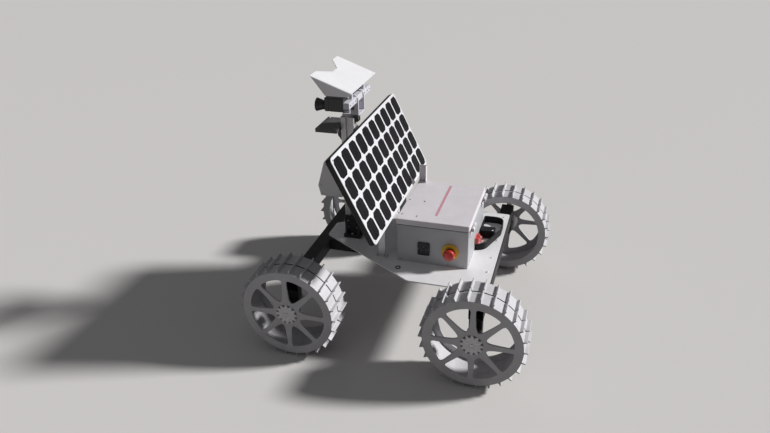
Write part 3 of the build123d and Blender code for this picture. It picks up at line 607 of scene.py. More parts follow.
# the spoked face: in each sector, rows run from its border to the window, through it and back behind
def spokeSheets(radius, half):
    w = wheelLook
    step = math.pi / w["spokes"]
    face = half - w["faceWall"]

    def border(outer):
        around = ramp(-step, step, w["perSector"], False)
        along = ramp(outer, w["bore"], w["alongSpoke"], False)
        inner = ramp(step, -step, w["aroundBore"], False)
        r = np.concatenate([0 * around + outer, along, 0 * inner + w["bore"], w["bore"] + outer - along])
        a = np.concatenate([around, 0 * along + step, inner, 0 * along - step])
        return np.stack([r * np.cos(a), r * np.sin(a)], -1)

    front, back = border(radius - w["border"]), border(radius - w["wall"])
    toward = front - np.array([w["windowMiddle"], 0])
    angle = np.arctan2(toward[:, 1], toward[:, 0])
    reach = windowReach(angle)
    rows, levels = [front], [half]
    for grow, level in ((3.0, half), (1.1, half), (0.35, half - 0.3), (0.0, half - 1.1), (0.0, face + 1.1),
                        (0.35, face + 0.3), (1.1, face), (3.0, face)):
        far = reach + grow
        rows.append(np.stack([w["windowMiddle"] + far * np.cos(angle), far * np.sin(angle)], -1))
        levels.append(level)
    rows.append(back)
    levels.append(face)
    flat = np.array(rows)
    turns = (np.arange(w["spokes"]) + 0.5) * 2 * step
    c, s = np.cos(turns)[:, None, None], np.sin(turns)[:, None, None]
    x = flat[None, ..., 0] * c - flat[None, ..., 1] * s
    z = flat[None, ..., 0] * s + flat[None, ..., 1] * c
    y = np.broadcast_to(np.array(levels)[None, :, None], x.shape)
    bore = turned([(w["bore"], half), (w["bore"], face)], (0, 0, 0), "y", w["aroundBore"] * w["spokes"])
    return [sheetsOf(np.stack([x, y, z], -1), wrapColumns=True), bore]


# lugs: a cross-section with a flared root and a rounded tip, carried along the axle in two halves;
# the section is drawn in at both ends of each half
def lugSheets(radius, half):
    w = wheelLook
    tall = w["lugHeight"]
    up = np.array([-1.5, 0.0, 0.5, 1.3, 2.6, tall - 1.1, tall - 0.4, tall])
    wide = w["lugHalf"] + w["flare"] * np.exp(-np.maximum(up, 0) / w["flareFade"])
    wide -= np.array([0, 0, 0, 0, 0, 0, 0.35, 1.1])
    section = np.stack([np.concatenate([-wide, wide[::-1]]), np.concatenate([up, up[::-1]])], -1)
    near, far = w["lugGap"], half
    along = np.array([near, near, near + 0.2, near + 0.8, far - 0.9, far - 0.25, far, far])
    inset = np.array([9.0, 0.8, 0.2, 0.0, 0.0, 0.25, 0.9, 9.0])
    across = np.sign(section[:, 0]) * np.maximum(np.abs(section[:, 0]) - inset[:, None], 0)
    rise = np.where(inset[:, None] > 5, tall / 2, np.minimum(section[:, 1], tall - inset[:, None]))
    turns = math.pi / 2 - (np.arange(w["lugCount"]) + 0.5) * 2 * math.pi / w["lugCount"]
    c, s = np.cos(turns)[:, None, None], np.sin(turns)[:, None, None]
    x = (radius + rise) * c - across * s
    z = (radius + rise) * s + across * c
    sheets = []
    for side in (1, -1):
        y = np.broadcast_to(side * along[None, :, None], x.shape)
        sheets.append(sheetsOf(np.stack([x, y, z], -1), wrapColumns=True))
    return sheets


hubLook = {"tip": 36.0, "valley": 25.5, "rays": 12, "dip": 1.5, "paintedShadeRing": 34.0, "screwRing": 17.5,
           "screws": 6, "flange": 36.0, "flangeThick": 6.0, "shaft": 6.0, "collar": 12.0, "collarLong": 3.0,
           "shaftEnd": 13.0}


# the hub cap: a disc whose edge swings in and out with the rays and whose top dips between them
def hubSheets(half):
    h = hubLook
    angle = ramp(0, 2 * math.pi, 16 * h["rays"], False)
    swing = np.cos(h["rays"] * angle)
    outer = (h["tip"] + h["valley"]) / 2 + (h["tip"] - h["valley"]) / 2 * swing
    part = np.array([0.0, 0.25, 0.3, 0.34, 0.38, 0.45, 0.6, 0.75, 0.9, 0.96, 0.99, 1.0, 1.0, 0.5, 0.0])
    level = np.array([2.2, 2.2, 2.3, 3.7, 4.0, 4.0, 4.0, 4.0, 4.0, 3.8, 3.4, 2.8, 0.0, 0.0, 0.0])
    dip = np.array([0, 0, 0, 0, 0, 0.3, 0.9, 1.0, 1.0, 0.9, 0.6, 0.2, 0, 0, 0])
    rayed = np.clip(part[:, None] / 0.5, 0, 1)
    reach = part[:, None] * (rayed * outer + (1 - rayed) * h["valley"])
    rise = level[:, None] - h["dip"] * dip[:, None] * (1 - swing) / 2
    points = np.stack([reach * np.cos(angle), half + rise, reach * np.sin(angle)], -1)
    sheets = [sheetOf(points, wrapColumns=True)]
    # a dark ring under the cap shows in the notches between the rays: painted shade for the recesses there
    paintedShadeRing = eased([(0, 0.6), (h["paintedShadeRing"], 0.6), (h["paintedShadeRing"], -0.5), (0, -0.5)], 0.3)
    sheets.append(turned(paintedShadeRing, (0, half, 0), "y", 64, mark=3))
    face = half - wheelLook["faceWall"]
    flangeEnd = face - h["flangeThick"]
    collarEnd = flangeEnd - h["collarLong"]
    profile = [(0, face), (h["flange"], face), (h["flange"], flangeEnd), (h["collar"], flangeEnd),
               (h["collar"], collarEnd), (h["shaft"], collarEnd), (h["shaft"], h["shaftEnd"]),
               (0, h["shaftEnd"])]
    sheets.append(turned(eased(profile, 0.8), (0, 0, 0), "y", 64, mark=1))
    screw = eased([(0, 3.2), (2.0, 3.2), (2.0, 2.0), (0, 2.0)], 0.5)
    bolt = eased([(0, 3.2), (2.2, 3.2), (2.6, 3.9), (4.6, 3.9), (5.0, 2.0), (0, 2.0)], 0.3)
    sheets.append(turned(bolt, (0, half, 0), "y", 24, mark=2))
    for i in range(h["screws"]):
        turn = 2 * math.pi * (i + 0.25) / h["screws"]
        place = (h["screwRing"] * math.cos(turn), half, h["screwRing"] * math.sin(turn))
        sheets.append(turned(screw, place, "y", 16, mark=1))
    return sheets


# each wheel is made about the middle of its own CAD rim, and turned round on the right side
def makeWheels():
    for corner in ("front_left", "front_right", "rear_left", "rear_right"):
        low, high = boxOf("wheel_rim_" + corner)
        middle, half = (low + high) / 2, (high[1] - low[1]) / 2
        radius = (high[0] - low[0]) / 2 - wheelLook["lugHeight"]
        turn = 180 if corner.endswith("right") else 0
        rim = drumSheets(radius, half) + spokeSheets(radius, half) + lugSheets(radius, half)
        # the rim's second finish, black, colours only the drum's groove: painted shade
        makePiece("wheelRim_" + corner, moved(rim, middle, turn), ("printedPlastic", "blackPlastic"),
                  "wheel_" + corner, ("wheel_rim_" + corner,))
        makePiece("wheelHub_" + corner, moved(hubSheets(half), middle, turn),
                  ("hubWhite", "aluminium", "steel", "darkPaint"), "wheel_" + corner, ("hub_" + corner,))


makeWheels()
print("wheels made")


# head: one bent sheet for the hood, two cameras with ribbed lenses, the bar, and the fork on its turntable

hoodLook = {"length": 141.0, "pitch": 20.4, "sheet": 2.0, "bend": 5.0, "notchDepth": 37.0, "notchOuter": 73.0,
            "notchInner": 21.0, "skirtRear": 11.0, "skirtLength": 75.0}


# the hood: columns run from one skirt's lower edge, round the bend, over the top and down again, and rows
# run from the rear edge to the front; the top's length shrinks in a straight line inside the notch
def makeHood():
    h = hoodLook
    low, high = boxOf("sun_hood")
    pitch = math.radians(h["pitch"])
    rear = np.array([low[0], high[2] - h["length"] * math.sin(pitch)])
    half, r = high[1], h["bend"]
    bend = np.radians(ramp(90, 0, 7))
    flat = np.sort(np.concatenate([ramp(0, half - r, 14), [h["notchInner"], h["notchOuter"]],
                                   ramp(h["notchInner"], h["notchOuter"], 8)[1:-1]]))[::-1]
    side = np.concatenate([np.full(8, half), half - r * (1 - np.sin(bend[1:-1])), flat])
    drop = np.concatenate([np.full(8, r), r * (1 - np.cos(bend[1:-1])), 0 * flat])
    part = np.concatenate([ramp(1, 0, 8), 0 * bend[1:-1], 0 * flat])
    side, drop, part = (np.concatenate([one, way * one[-2::-1]]) for one, way in
                        ((side, -1), (drop, 1), (part, 1)))
    cut = np.clip((h["notchOuter"] - np.abs(side)) / (h["notchOuter"] - h["notchInner"]), 0, 1)
    t = ramp(0, 1, 25)[:, None]
    reach = t * (h["length"] - h["notchDepth"] * cut)
    top = np.stack([rear[0] + reach * math.cos(pitch), rear[1] + reach * math.sin(pitch)], -1)
    foot = np.stack([rear[0] + h["skirtRear"] + h["skirtLength"] * t + 0 * reach, low[2] + 0 * reach], -1)
    depth = np.linalg.norm(foot - top, axis=-1)
    fall = ((drop + part * (depth - drop)) / depth)[..., None]
    spot = top + (foot - top) * fall
    points = np.stack([spot[..., 0], np.broadcast_to(side, reach.shape), spot[..., 1]], -1)
    makePiece("sunHood", shellOf(points, h["sheet"]), "hoodWhite", "tilt", ("sun_hood",))


cameraLook = {"long": 63.0, "high": 44.0, "edge": 3.5, "seamAt": 48.0, "seamDeep": 0.9, "lensDown": 30.0,
              "barrel": 15.0, "barrelEnd": 11.0, "flareStart": 12.5, "mouth": 21.0, "wall": 1.6,
              "ribs": 7, "ribDepth": 0.7, "glass": 10.5, "glassAt": 9.5, "bulge": 2.6,
              "screw": (1.6, 0.9), "screwAcross": (-17, 17), "screwUp": (5, 39),
              "topScrew": (1.8, 1.0), "topScrews": (-6, 6), "topScrewAt": 20.0}


# a lens about X: the profile climbs the ribbed barrel, opens into the flare, turns at its lip and comes
# back inside to the glass, which bulges as part of a ball
def lensSheets(place):
    c = cameraLook
    end = boxOf("camera_left")[1][0] - place[0]
    ribs = ramp(1.5, c["barrelEnd"] - 0.5, 2 * c["ribs"] + 1)
    ribbed = [(c["barrel"] - c["ribDepth"] * (i % 2), at) for i, at in enumerate(ribs)]
    outside = [(0, 0), (c["barrel"], 0), *ribbed, (c["barrel"], c["flareStart"]), (c["mouth"], end - 1.5),
               (c["mouth"], end)]
    inside = [(c["mouth"] - c["wall"], end), (c["barrel"] - c["wall"], c["flareStart"] + 1.5),
              (c["glass"] + 1.2, c["flareStart"] + 0.5), (c["glass"] + 0.4, c["glassAt"]), (0, c["glassAt"])]
    easing = [0, 0.3, *([0.25] * len(ribbed)), 0.8, 0.4, 0.5, 0.5, 0.6, 0.4, 0.3, 0]
    body = turned(eased(outside + inside, easing), place, "x", 64)
    glass = [(c["glass"] * part, c["glassAt"] + c["bulge"] * math.sqrt(max(1 - part * part * 0.9, 0)))
             for part in ramp(0, 1, 9)]
    return [body, turned(glass + [(c["glass"], c["glassAt"])], place, "x", 48, mark=1)]


# each camera is two rounded boxes with a sunk seam between them, a lens in front and small screws
def makeCameras():
    c = cameraLook
    barX = boxOf("camera_bar")[1][0]
    frontX, seam = barX + c["long"], barX + c["seamAt"]
    for name in ("left", "right"):
        low, high = boxOf("camera_" + name)
        y = (low[1] + high[1]) / 2
        bottom, top = high[2] - c["high"], high[2]
        deep = c["seamDeep"]
        sheets = easedBox((barX, low[1], bottom), (seam - 0.3, high[1], top), c["edge"])
        sheets += easedBox((seam - 1.5, low[1] + deep, bottom + deep),
                           (seam + 1.5, high[1] - deep, top - deep), c["edge"] - deep)
        sheets += easedBox((seam + 0.3, low[1], bottom), (frontX, high[1], top), c["edge"])
        sheets += lensSheets((frontX, y, top - c["lensDown"]))
        front = [(frontX, y + across, bottom + up) for up in c["screwUp"] for across in c["screwAcross"]]
        sheets += screwSheets(front, c["screw"], "x", mark=2)
        above = [(barX + c["topScrewAt"], y + across, top) for across in c["topScrews"]]
        sheets += screwSheets(above, c["topScrew"], mark=2)
        makePiece("cameraBody_" + name, sheets, ("cameraBlack", "lensGlass", "steel"), "tilt",
                  ("camera_" + name,))


headLook = {"tiltX": 171.9, "tiltZ": 750.0, "eye": 14.0, "arm": 6.0, "inner": 26.0, "clear": 1.0, "pin": 4.0,
            "forkDrop": 54.5, "plate": 5.0, "turntable": 20.0, "turntableHigh": 10.0, "grips": 36,
            "spindle": 5.0, "armCap": (178.0, 721.0), "armScrew": (1.7, 0.8), "armScrews": (196, 208),
            "motorFront": 214.4, "motorLong": 24.0, "motorHigh": 34.0, "motorHalf": 22.0, "motorAxis": 12.0,
            "motorScrew": (1.8, 0.9), "motorScrewY": (-17, 17), "motorScrewUp": (5, 29),
            "bar": 10.0, "barScrew": (2.6, 1.2), "barScrews": (45, 71, 93), "strutY": 58.0, "strut": 5.0}


# the fork: each arm is a plate whose outline runs up one side, round the eye and down the other
def makeFork():
    h = headLook
    low, high = boxOf("pan_unit")
    outer, eye, front = h["inner"] + h["arm"], h["eye"], h["motorFront"]
    level = high[2] - eye - h["forkDrop"]
    seat, mastX = level + h["plate"], front - h["motorAxis"]
    bottom = level - h["turntableHigh"]
    angle = ramp(0, 2 * math.pi, 4 * h["grips"], False)
    grip = h["turntable"] - 0.5 * (0.5 + 0.5 * np.cos(h["grips"] * angle)) ** 2
    disc = np.stack([mastX + grip * np.cos(angle), grip * np.sin(angle)], -1)
    sheets = slab(disc, h["turntableHigh"], 0.8, standing("z", bottom))
    spindle = [(0, low[2]), (h["spindle"], low[2]), (h["spindle"], bottom), (0, bottom)]
    sheets.append(turned(spindle, (mastX, 0, 0), "z", 32, mark=1))
    sheets += easedBox((h["tiltX"] - eye, -outer, level), (front, outer, seat), 1.2)
    around = np.radians(ramp(0, 180, 25))
    arm = [(h["tiltX"] + eye * math.cos(a), h["tiltZ"] + eye * math.sin(a)) for a in around]
    arm += [(h["tiltX"] - eye, level), (h["tiltX"] + eye, level)]
    ring = eased([(h["pin"] + 0.4, 0), (h["pin"] + 0.4, 0.9), (9.0, 0.9), (9.0, 0)], 0.3)
    cap = eased([(0, 0.7), (6.2, 0.7), (6.8, 0)], 0.3)
    boss = eased([(0, 0.6), (7.4, 0.6), (7.8, 1.6), (10.6, 1.6), (11.2, -1.0), (0, -1.0)], 0.3)
    capX, capZ = h["armCap"]
    for side in (1, -1):
        sheets += slab(arm, h["arm"], 1.2, standing("y", side * h["inner"], side))
        sheets.append(turned(ring, (h["tiltX"], side * outer, h["tiltZ"]), "y", 40, mark=1, sign=side))
        sheets.append(turned(cap, (capX, side * outer, capZ), "y", 32, mark=2, sign=side))
        spots = [(x, side * outer, level + 2.5) for x in h["armScrews"]]
        sheets += screwSheets(spots, h["armScrew"], "y", side, 1)
        middle = (mastX, side * (h["motorHalf"] - 1.6), seat + h["motorHigh"] / 2)
        sheets.append(turned(boss, middle, "y", 36, mark=2, sign=side))
    for start, end in ((-h["motorHalf"], -0.35), (0.35, h["motorHalf"])):
        sheets += easedBox((front - h["motorLong"], start, seat), (front, end, seat + h["motorHigh"]), 2.4)
    spots = [(front, y, seat + up) for y in h["motorScrewY"] for up in h["motorScrewUp"]]
    sheets += screwSheets(spots, h["motorScrew"], "x", mark=1)
    makePiece("panUnit", sheets, ("headWhite", "steel", "darkPaint"), "pan", ("pan_unit",))


# the bar: a middle block between the fork's arms, a block outside each arm and the hood's two struts
def makeCameraBar():
    h = headLook
    x, z, b, s = h["tiltX"], h["tiltZ"], h["bar"], h["strut"]
    high = boxOf("camera_bar")[1]
    inner, outer = h["inner"] - h["clear"], h["inner"] + h["arm"] + h["clear"]
    sheets = easedBox((x - b, -inner, z - b), (x + b, inner, z + b), 1.5)
    pin = eased([(0, -outer), (h["pin"], -outer), (h["pin"], outer), (0, outer)], 0.5)
    sheets.append(turned(pin, (x, 0, z), "y", 32, mark=1))
    lean = 2 * s * math.tan(math.radians(hoodLook["pitch"]))
    strut = [(x - s, z), (x + s, z), (x + s, high[2]), (x - s, high[2] - lean)]
    for side in (1, -1):
        sheets += easedBox((x - b, side * outer, z - b), (x + b, side * high[1], z + b), 1.5)
        spots = [(x - b, side * y, z) for y in h["barScrews"]]
        sheets += screwSheets(spots, h["barScrew"], "x", -1, 1)
        sheets += slab(strut, 2 * s, 0.9, standing("y", side * (h["strutY"] - s), side))
    makePiece("cameraBar", sheets, ("headWhite", "steel"), "tilt", ("camera_bar",))


makeHood()
makeCameras()
makeFork()
makeCameraBar()
print("head made")


# mast: slotted post, its clamped foot, sensor plate with gusset, front housing and the pan servo

mastLook = {"corner": 2.0, "mouth": 4.1, "lip": 1.8, "pocket": 5.0, "slotDeep": 5.0}


# the post's outline: one side with its slot, turned to the other three
def makePost():
    m = mastLook
    low, high = boxOf("mast_post")
    half = (high[0] - low[0]) / 2
    lip, deep, mouth, pocket = half - m["lip"], half - m["slotDeep"], m["mouth"], m["pocket"]
    side = [(half, m["corner"] - half), (half, -mouth), (lip, -mouth), (lip, -pocket), (deep, -pocket),
            (deep, pocket), (lip, pocket), (lip, mouth), (half, mouth), (half, half - m["corner"])]
    turns = [np.array([[math.cos(a), math.sin(a)], [-math.sin(a), math.cos(a)]])
             for a in np.radians([0, 90, 180, 270])]
    outline = eased(np.vstack([np.array(side) @ turn for turn in turns]), 0.8, 3, True)
    outline += ((low + high) / 2)[:2]
    makePiece("mastPost", slab(outline, high[2] - low[2], 0.3, standing("z", low[2])), "aluminium", "root",
              ("mast_post",))


footLook = {"plate": 12.0, "socket": 32.0, "ribThick": 8.0, "ribReach": 15.0, "ribHigh": 50.0,
            "ribInset": 4.0, "bolt": (5.0, 4.0), "boltIn": 30.0, "boltY": (-41, 41),
            "clamp": (3.4, 2.4), "clampX": (-16, 16), "clampUp": (34, 58)}


# the foot: a plate with a square socket, two ribs on each side of it, bolts and clamp screws
def makeFoot():
    f = footLook
    low, high = boxOf("mast_foot")
    base, socket = low[2] + f["plate"], f["socket"]
    sheets = easedBox(low, (high[0], high[1], base), 1.5)
    sheets += easedBox((low[0], -socket, base - 2), (high[0], socket, high[2]), 2.0)
    for side in (1, -1):
        inside, outside = side * (socket - 1), side * (socket + f["ribReach"])
        rib = [(inside, base - 1), (outside, base - 1), (inside, base + f["ribHigh"])]
        for x in (low[0] + f["ribInset"], high[0] - f["ribInset"] - f["ribThick"]):
            sheets += slab(rib, f["ribThick"], 0.8, standing("x", x))
    sheets += screwSheets([(low[0] + f["boltIn"], y, base) for y in f["boltY"]], f["bolt"], mark=1)
    middle = (low[0] + high[0]) / 2
    clamps = [(middle + x, socket, low[2] + up) for x in f["clampX"] for up in f["clampUp"]]
    sheets += screwSheets(clamps, f["clamp"], "y", mark=1)
    makePiece("mastFoot", sheets, ("blackPaint", "steel"), "root", ("mast_foot",))


sensorLook = {"edge": 1.6, "screw": (3.0, 1.6), "screwRear": 10.0, "screwIn": 9.0}


# the sensor plate with a screw near each corner, and the gusset under it
def makeSensorPlate():
    s = sensorLook
    low, high = boxOf("sensor_plate")
    sheets = easedBox(low, high, s["edge"])
    corners = [(x, y, high[2]) for x in (low[0] + s["screwRear"], high[0] - s["screwIn"])
               for y in (low[1] + s["screwIn"], high[1] - s["screwIn"])]
    sheets += screwSheets(corners, s["screw"], mark=1)
    makePiece("sensorPlate", sheets, ("darkPaint", "steel"), "root", ("sensor_plate",))
    low, high = boxOf("sensor_gusset")
    rib = [(low[0], high[2]), (high[0], high[2]), (high[0], (low[2] + high[2]) / 2), (low[0], low[2])]
    makePiece("sensorGusset", slab(rib, high[1] - low[1], 1.0, standing("y", low[1])), "darkPaint", "root",
              ("sensor_gusset",))


housingLook = {"topDeep": 59.0, "toeBack": 8.0, "noseUp": 37.0, "corners": (3.2, 3.2, 6, 3.2, 3.2),
               "edge": 2.0, "cover": 7.0, "groove": 0.8, "screw": (2.2, 0.0)}


# the housing: a core between two side covers, each with the same five-cornered outline and rounded edges
def makeHousing():
    h = housingLook
    low, high = boxOf("front_housing")
    front, cover, groove, edge = low[0] + h["topDeep"], h["cover"], h["groove"], h["edge"]
    outline = [(low[0], low[2]), (high[0] - h["toeBack"], low[2]), (high[0], low[2] + h["noseUp"]),
               (front, high[2]), (low[0], high[2])]
    near = [(edge + 0.1, 0.0)]
    near += [(edge * (1 - math.sin(a)), edge * (1 - math.cos(a))) for a in np.radians(ramp(0, 90, 6))]
    near += [(0, cover - 0.4), (groove, cover), (groove, cover + 0.5), (0, cover + 0.9)]
    shape = eased(outline, h["corners"], 5, True)
    sheets = walled(shape, bothEnds(near, high[1] - low[1]), standing("y", low[1]))
    spots = [(low[0] + 8, low[2] + 8), (high[0] - 15, low[2] + 9), (high[0] - 11, low[2] + 40),
             (low[0] + 8, high[2] - 9), (front - 8, high[2] - 9)]
    for side in (1, -1):
        sheets += screwSheets([(x, side * high[1], z) for x, z in spots], h["screw"], "y", side, 1)
    makePiece("frontHousing", sheets, ("whitePaint", "steel"), "root", ("front_housing",))


servoLook = {"edge": 1.0, "screw": (1.7, 1.0), "screwY": (-8, 8)}


# the pan servo: a plain case with two screws in its rear face
def makeServo():
    low, high = boxOf("pan_servo")
    sheets = easedBox(low, high, servoLook["edge"])
    spots = [(low[0], y, (low[2] + high[2]) / 2) for y in servoLook["screwY"]]
    sheets += screwSheets(spots, servoLook["screw"], "x", -1, 1)
    makePiece("panServo", sheets, ("blackPlastic", "steel"), "root", ("pan_servo",))


makePost()
makeFoot()
makeSensorPlate()
makeHousing()
makeServo()
print("mast made")


# solar panel: a white sheet on a dark board, forty cells, and its arms and posts

panelLook = {"width": 650.0, "length": 294.0, "corner": 15.0, "sheet": 2.0, "board": 10.0,
             "rimDeep": 7.0, "rimWide": 6.0, "screw": (2.6, 0.9), "screwX": (-313, 0, 313), "screwIn": 9.0}
panelFoot = boxOf("panel_sheet")[0] * [1, 0, 1] + [0, 0, panelLook["sheet"] * panelFace[2]]


# turns (across, up the slope, off the face) into places
def onPanel(points):
    return (panelFoot + points[..., :1] * np.array([0, 1.0, 0]) + points[..., 1:2] * panelUp
            + points[..., 2:] * panelFace)


# the same frame with every height counted from a level
def lifted(frameIt, level):
    return lambda points: frameIt(points + np.array([0, 0, level]))


# screws standing on the panel's face: a swept profile with its axis along the face's normal
def tiltedScrews(places, size, mark):
    profile = np.array([(0, 0.3), (0.5, 0.3), (0.5, 1.0), (0.8, 1.0), (1.0, 0.0), (0, 0.0)])
    a, b, out = swept(profile * size, 16)
    one = a[..., None] * np.array([0, 1.0, 0]) + b[..., None] * panelUp + out[..., None] * panelFace
    return copies(one, places, mark)


# the sheet, the board behind it and the frame behind the board's edge share one rounded outline
def makePanel():
    p = panelLook
    half, long, sheet, board, deep, wide = (p["width"] / 2, p["length"], p["sheet"], p["board"],
                                            p["rimDeep"], p["rimWide"])
    outline = eased([(-half, 0), (half, 0), (half, long), (-half, long)], p["corner"], 10, True)
    sheets = slab(outline, sheet, 0.5, lifted(onPanel, -sheet))
    spots = [onPanel(np.array([x, y, 0.0])) for x in p["screwX"] for y in (p["screwIn"], long - p["screwIn"])]
    sheets += tiltedScrews(spots, p["screw"], 1)
    makePiece("panelSheet", sheets, ("panelWhite", "steel"), "panel", ("panel_sheet",))
    profile = [(3.0, -board), (1.2, -board), (0.4, 0.4 - board), (0, 1.2 - board), (0, -0.45 * board),
               (0, -1.2), (0.4, -0.4), (1.2, 0), (3.0, 0)]
    makePiece("panelBoard", walled(outline, profile, lifted(onPanel, -sheet)), "boardDark", "panel",
              ("panel_board",))
    profile = [(0.4, 0), (0, -0.6), (0, 1.2 - deep), (0.4, 0.4 - deep), (1.2, -deep), (wide - 0.4, -deep),
               (wide, 0.4 - deep), (wide, 0)]
    makePiece("panelRearRim", walled(outline, profile, lifted(onPanel, -sheet - board), closed=True),
              "boardDark", "panel")


cellLook = {"columns": 10, "rows": 4, "pitchAcross": 64.4, "pitchUp": 70.6, "width": 54.5, "length": 63.6,
            "corner": 10.5, "ease": 2.5, "thick": 0.5}


# the cells: one eight-sided outline shifted to every place of the grid
def makeCells():
    e = cellLook
    w, l, c, thick = e["width"] / 2, e["length"] / 2, e["corner"], e["thick"]
    cell = eased([(c - w, -l), (w - c, -l), (w, c - l), (w, l - c), (w - c, l), (c - w, l), (-w, l - c),
                  (-w, c - l)], e["ease"], 2, True)
    profile = [(0, -0.3), (0, thick - 0.15), (0.2, thick), (0.6, thick)]
    sheets = []
    for row in range(e["rows"]):
        for column in range(e["columns"]):
            place = ((column - (e["columns"] - 1) / 2) * e["pitchAcross"],
                     panelLook["length"] / 2 + (row - (e["rows"] - 1) / 2) * e["pitchUp"])
            sheets += walled(cell + place, profile, onPanel)
    makePiece("solarCells", sheets, "cellBlue", "panel", ("solar_cells",))


standLook = {"armY": 120.0, "armHalf": 8.0, "armDeep": 10.0, "armEnd": 15.0, "eye": 12.0, "pin": 4.0,
             "pivotUp": 30.0, "pivotBack": 10.0, "postHalf": 12.0, "postThick": 6.0, "postGap": 1.0,
             "pivotScrew": (6.0, 3.0), "footHalf": 20.0, "footOut": 20.0, "footHigh": 5.0,
             "footScrew": (3.4, 2.2), "footScrews": (-11, 11), "footScrewIn": 9.0}


# the stand: the arms behind the board end in round eyes, and the posts outside them carry the pins
def makePanelStand():
    s = standLook
    back = -(panelLook["sheet"] + panelLook["board"])
    rear, top = back - s["armDeep"], panelLook["length"] - s["armEnd"]
    pivot = panelFoot + panelUp * s["pivotUp"] + panelFace * (rear - s["pivotBack"])
    spot, foot = pivot[[0, 2]], panelFoot[[0, 2]]
    up, face = panelUp[[0, 2]], panelFace[[0, 2]]
    swing = np.radians(ramp(0, 180, 15))

    def at(along, off):
        return foot + up * along + face * off

    arm = [at(top, back), at(top, rear), at(s["pivotUp"] + s["eye"], rear)]
    arm += [spot + s["eye"] * (up * math.cos(a) - face * math.sin(a)) for a in swing]
    arm += [at(s["pivotUp"] - s["eye"], rear), at(s["armEnd"], rear), at(s["armEnd"], back)]
    base = boxOf("panel_posts")[0][2]
    half, thick, flange = s["postHalf"], s["postThick"], base + s["footHigh"]
    post = [(spot[0] + half * math.cos(a), spot[1] + half * math.sin(a)) for a in swing]
    post += [(spot[0] - half, base + 1), (spot[0] + half, base + 1)]
    inner, start = s["armY"] - s["armHalf"], s["armY"] + s["armHalf"] + s["postGap"]
    end = start + thick + s["footOut"]
    pin = eased([(0, inner - 1), (s["pin"], inner - 1), (s["pin"], start), (0, start)], 0.4)
    arms, posts = [], []
    for side in (1, -1):
        arms += slab(arm, 2 * s["armHalf"], 0.9, standing("y", side * inner, side))
        posts += slab(post, thick, 0.9, standing("y", side * start, side))
        posts += easedBox((spot[0] - s["footHalf"], side * start, base),
                          (spot[0] + s["footHalf"], side * end, flange), 1.0)
        posts.append(turned(pin, (spot[0], 0, spot[1]), "y", 24, mark=1, sign=side))
        outside = [(spot[0], side * (start + thick), spot[1])]
        posts += screwSheets(outside, s["pivotScrew"], "y", side, 1, 24)
        screws = [(spot[0] + x, side * (end - s["footScrewIn"]), flange) for x in s["footScrews"]]
        posts += screwSheets(screws, s["footScrew"], mark=1)
    makePiece("panelArms", arms, "aluminium", "panel", ("panel_arms",))
    makePiece("panelPosts", posts, ("aluminium", "steel"), "root", ("panel_posts",))


makePanel()
makeCells()
makePanelStand()
print("panel made")


# enclosure: sheet box with its bead, lid with a rolled hem, hinges, button, socket and the small bracket

boxLook = {"corner": 4.0, "wall": 2.0, "bead": 1.5, "beadTop": 388.0, "beadHigh": 4.5,
           "rivet": (2.2, 0.8), "rivetUp": 9.0, "rivetIn": 14.0, "rivetReach": 136.0}


# the box: rings of one rounded outline go up the wall, out round the bead, over the rim and down inside;
# the rear wall has no bead, so what stands out there is pushed back to it
def makeBox():
    b = boxLook
    low, high = boxOf("enclosure_box")
    out, wall = b["bead"], b["wall"]
    low, high = low + [0, out, 0], high - [out, out, 0]
    base, rim, top, down = low[2], high[2], b["beadTop"], b["beadTop"] - b["beadHigh"]
    outline = roundedBox(low, high, b["corner"])
    profile = [(2.6, base), (1.0, base), (0.3, base + 0.3), (0, base + 1.0), (0, down - 1.0),
               (-out * 0.4, down), (-out, down + 1.2), (-out, top - 1.2), (-out * 0.4, top), (0, top + 1.0),
               (0, rim - 0.6), (0.3, rim), (wall - 0.3, rim), (wall, rim - 0.6),
               (wall, base + wall + 0.6), (wall + 0.6, base + wall)]
    # the black band round the wall between the bead and the lid's skirt is painted shade for the gap under
    # the lid, drawn as a seal
    seal = [(-0.2, top + 0.3), (-0.5, top + 0.8), (-0.5, rim - 2.0), (-0.2, rim - 1.4), (0.2, rim - 1.4),
            (0.2, top + 0.3)]
    sheets = walled(outline, profile, standing("z", 0.0)) + walled(outline, seal, standing("z", 0.0), 2, True)
    for sheet in (sheets[0], sheets[-1]):
        sheet[0][:, 0] = np.maximum(sheet[0][:, 0], low[0])
    level = base + b["rivetUp"]
    for side in (1, -1):
        row = [(x, side * high[1], level) for x in ramp(low[0] + b["rivetIn"], high[0] - b["rivetIn"], 5)]
        sheets += screwSheets(row, b["rivet"], "y", side, 1, 14)
    for x, side in ((low[0], -1), (high[0], 1)):
        row = [(x, y, level) for y in ramp(-b["rivetReach"], b["rivetReach"], 6)]
        sheets += screwSheets(row, b["rivet"], "x", side, 1, 14)
    makePiece("enclosureBox", sheets, ("boxGreyWithPaintedShade", "steel", "deepBlack"), "root", ("enclosure_box",))


lidLook = {"corner": 8.0, "behind": 10.0, "wall": 2.0, "skirt": 19.0, "edge": 2.6, "hem": 4.2, "hemOut": 0.6,
           "screw": (3.0, 1.4), "screws": ((-5.0, 11.0), (-55.0, 12.6), (-6.7, 118.0), (-56.0, 122.0)),
           "stripeX": -114.5, "stripeHalf": 4.5, "stripeY": (-128.0, 104.0)}
hingeLook = {"y": 110.0, "knuckle": 4.0, "knuckleHalf": 7.0, "gap": 0.5, "half": 21.5, "leaf": 2.5,
             "leafDrop": 7.0, "edge": 0.6, "screw": (2.6, 1.3), "screws": (-14, 0, 14), "screwUp": 9.0}


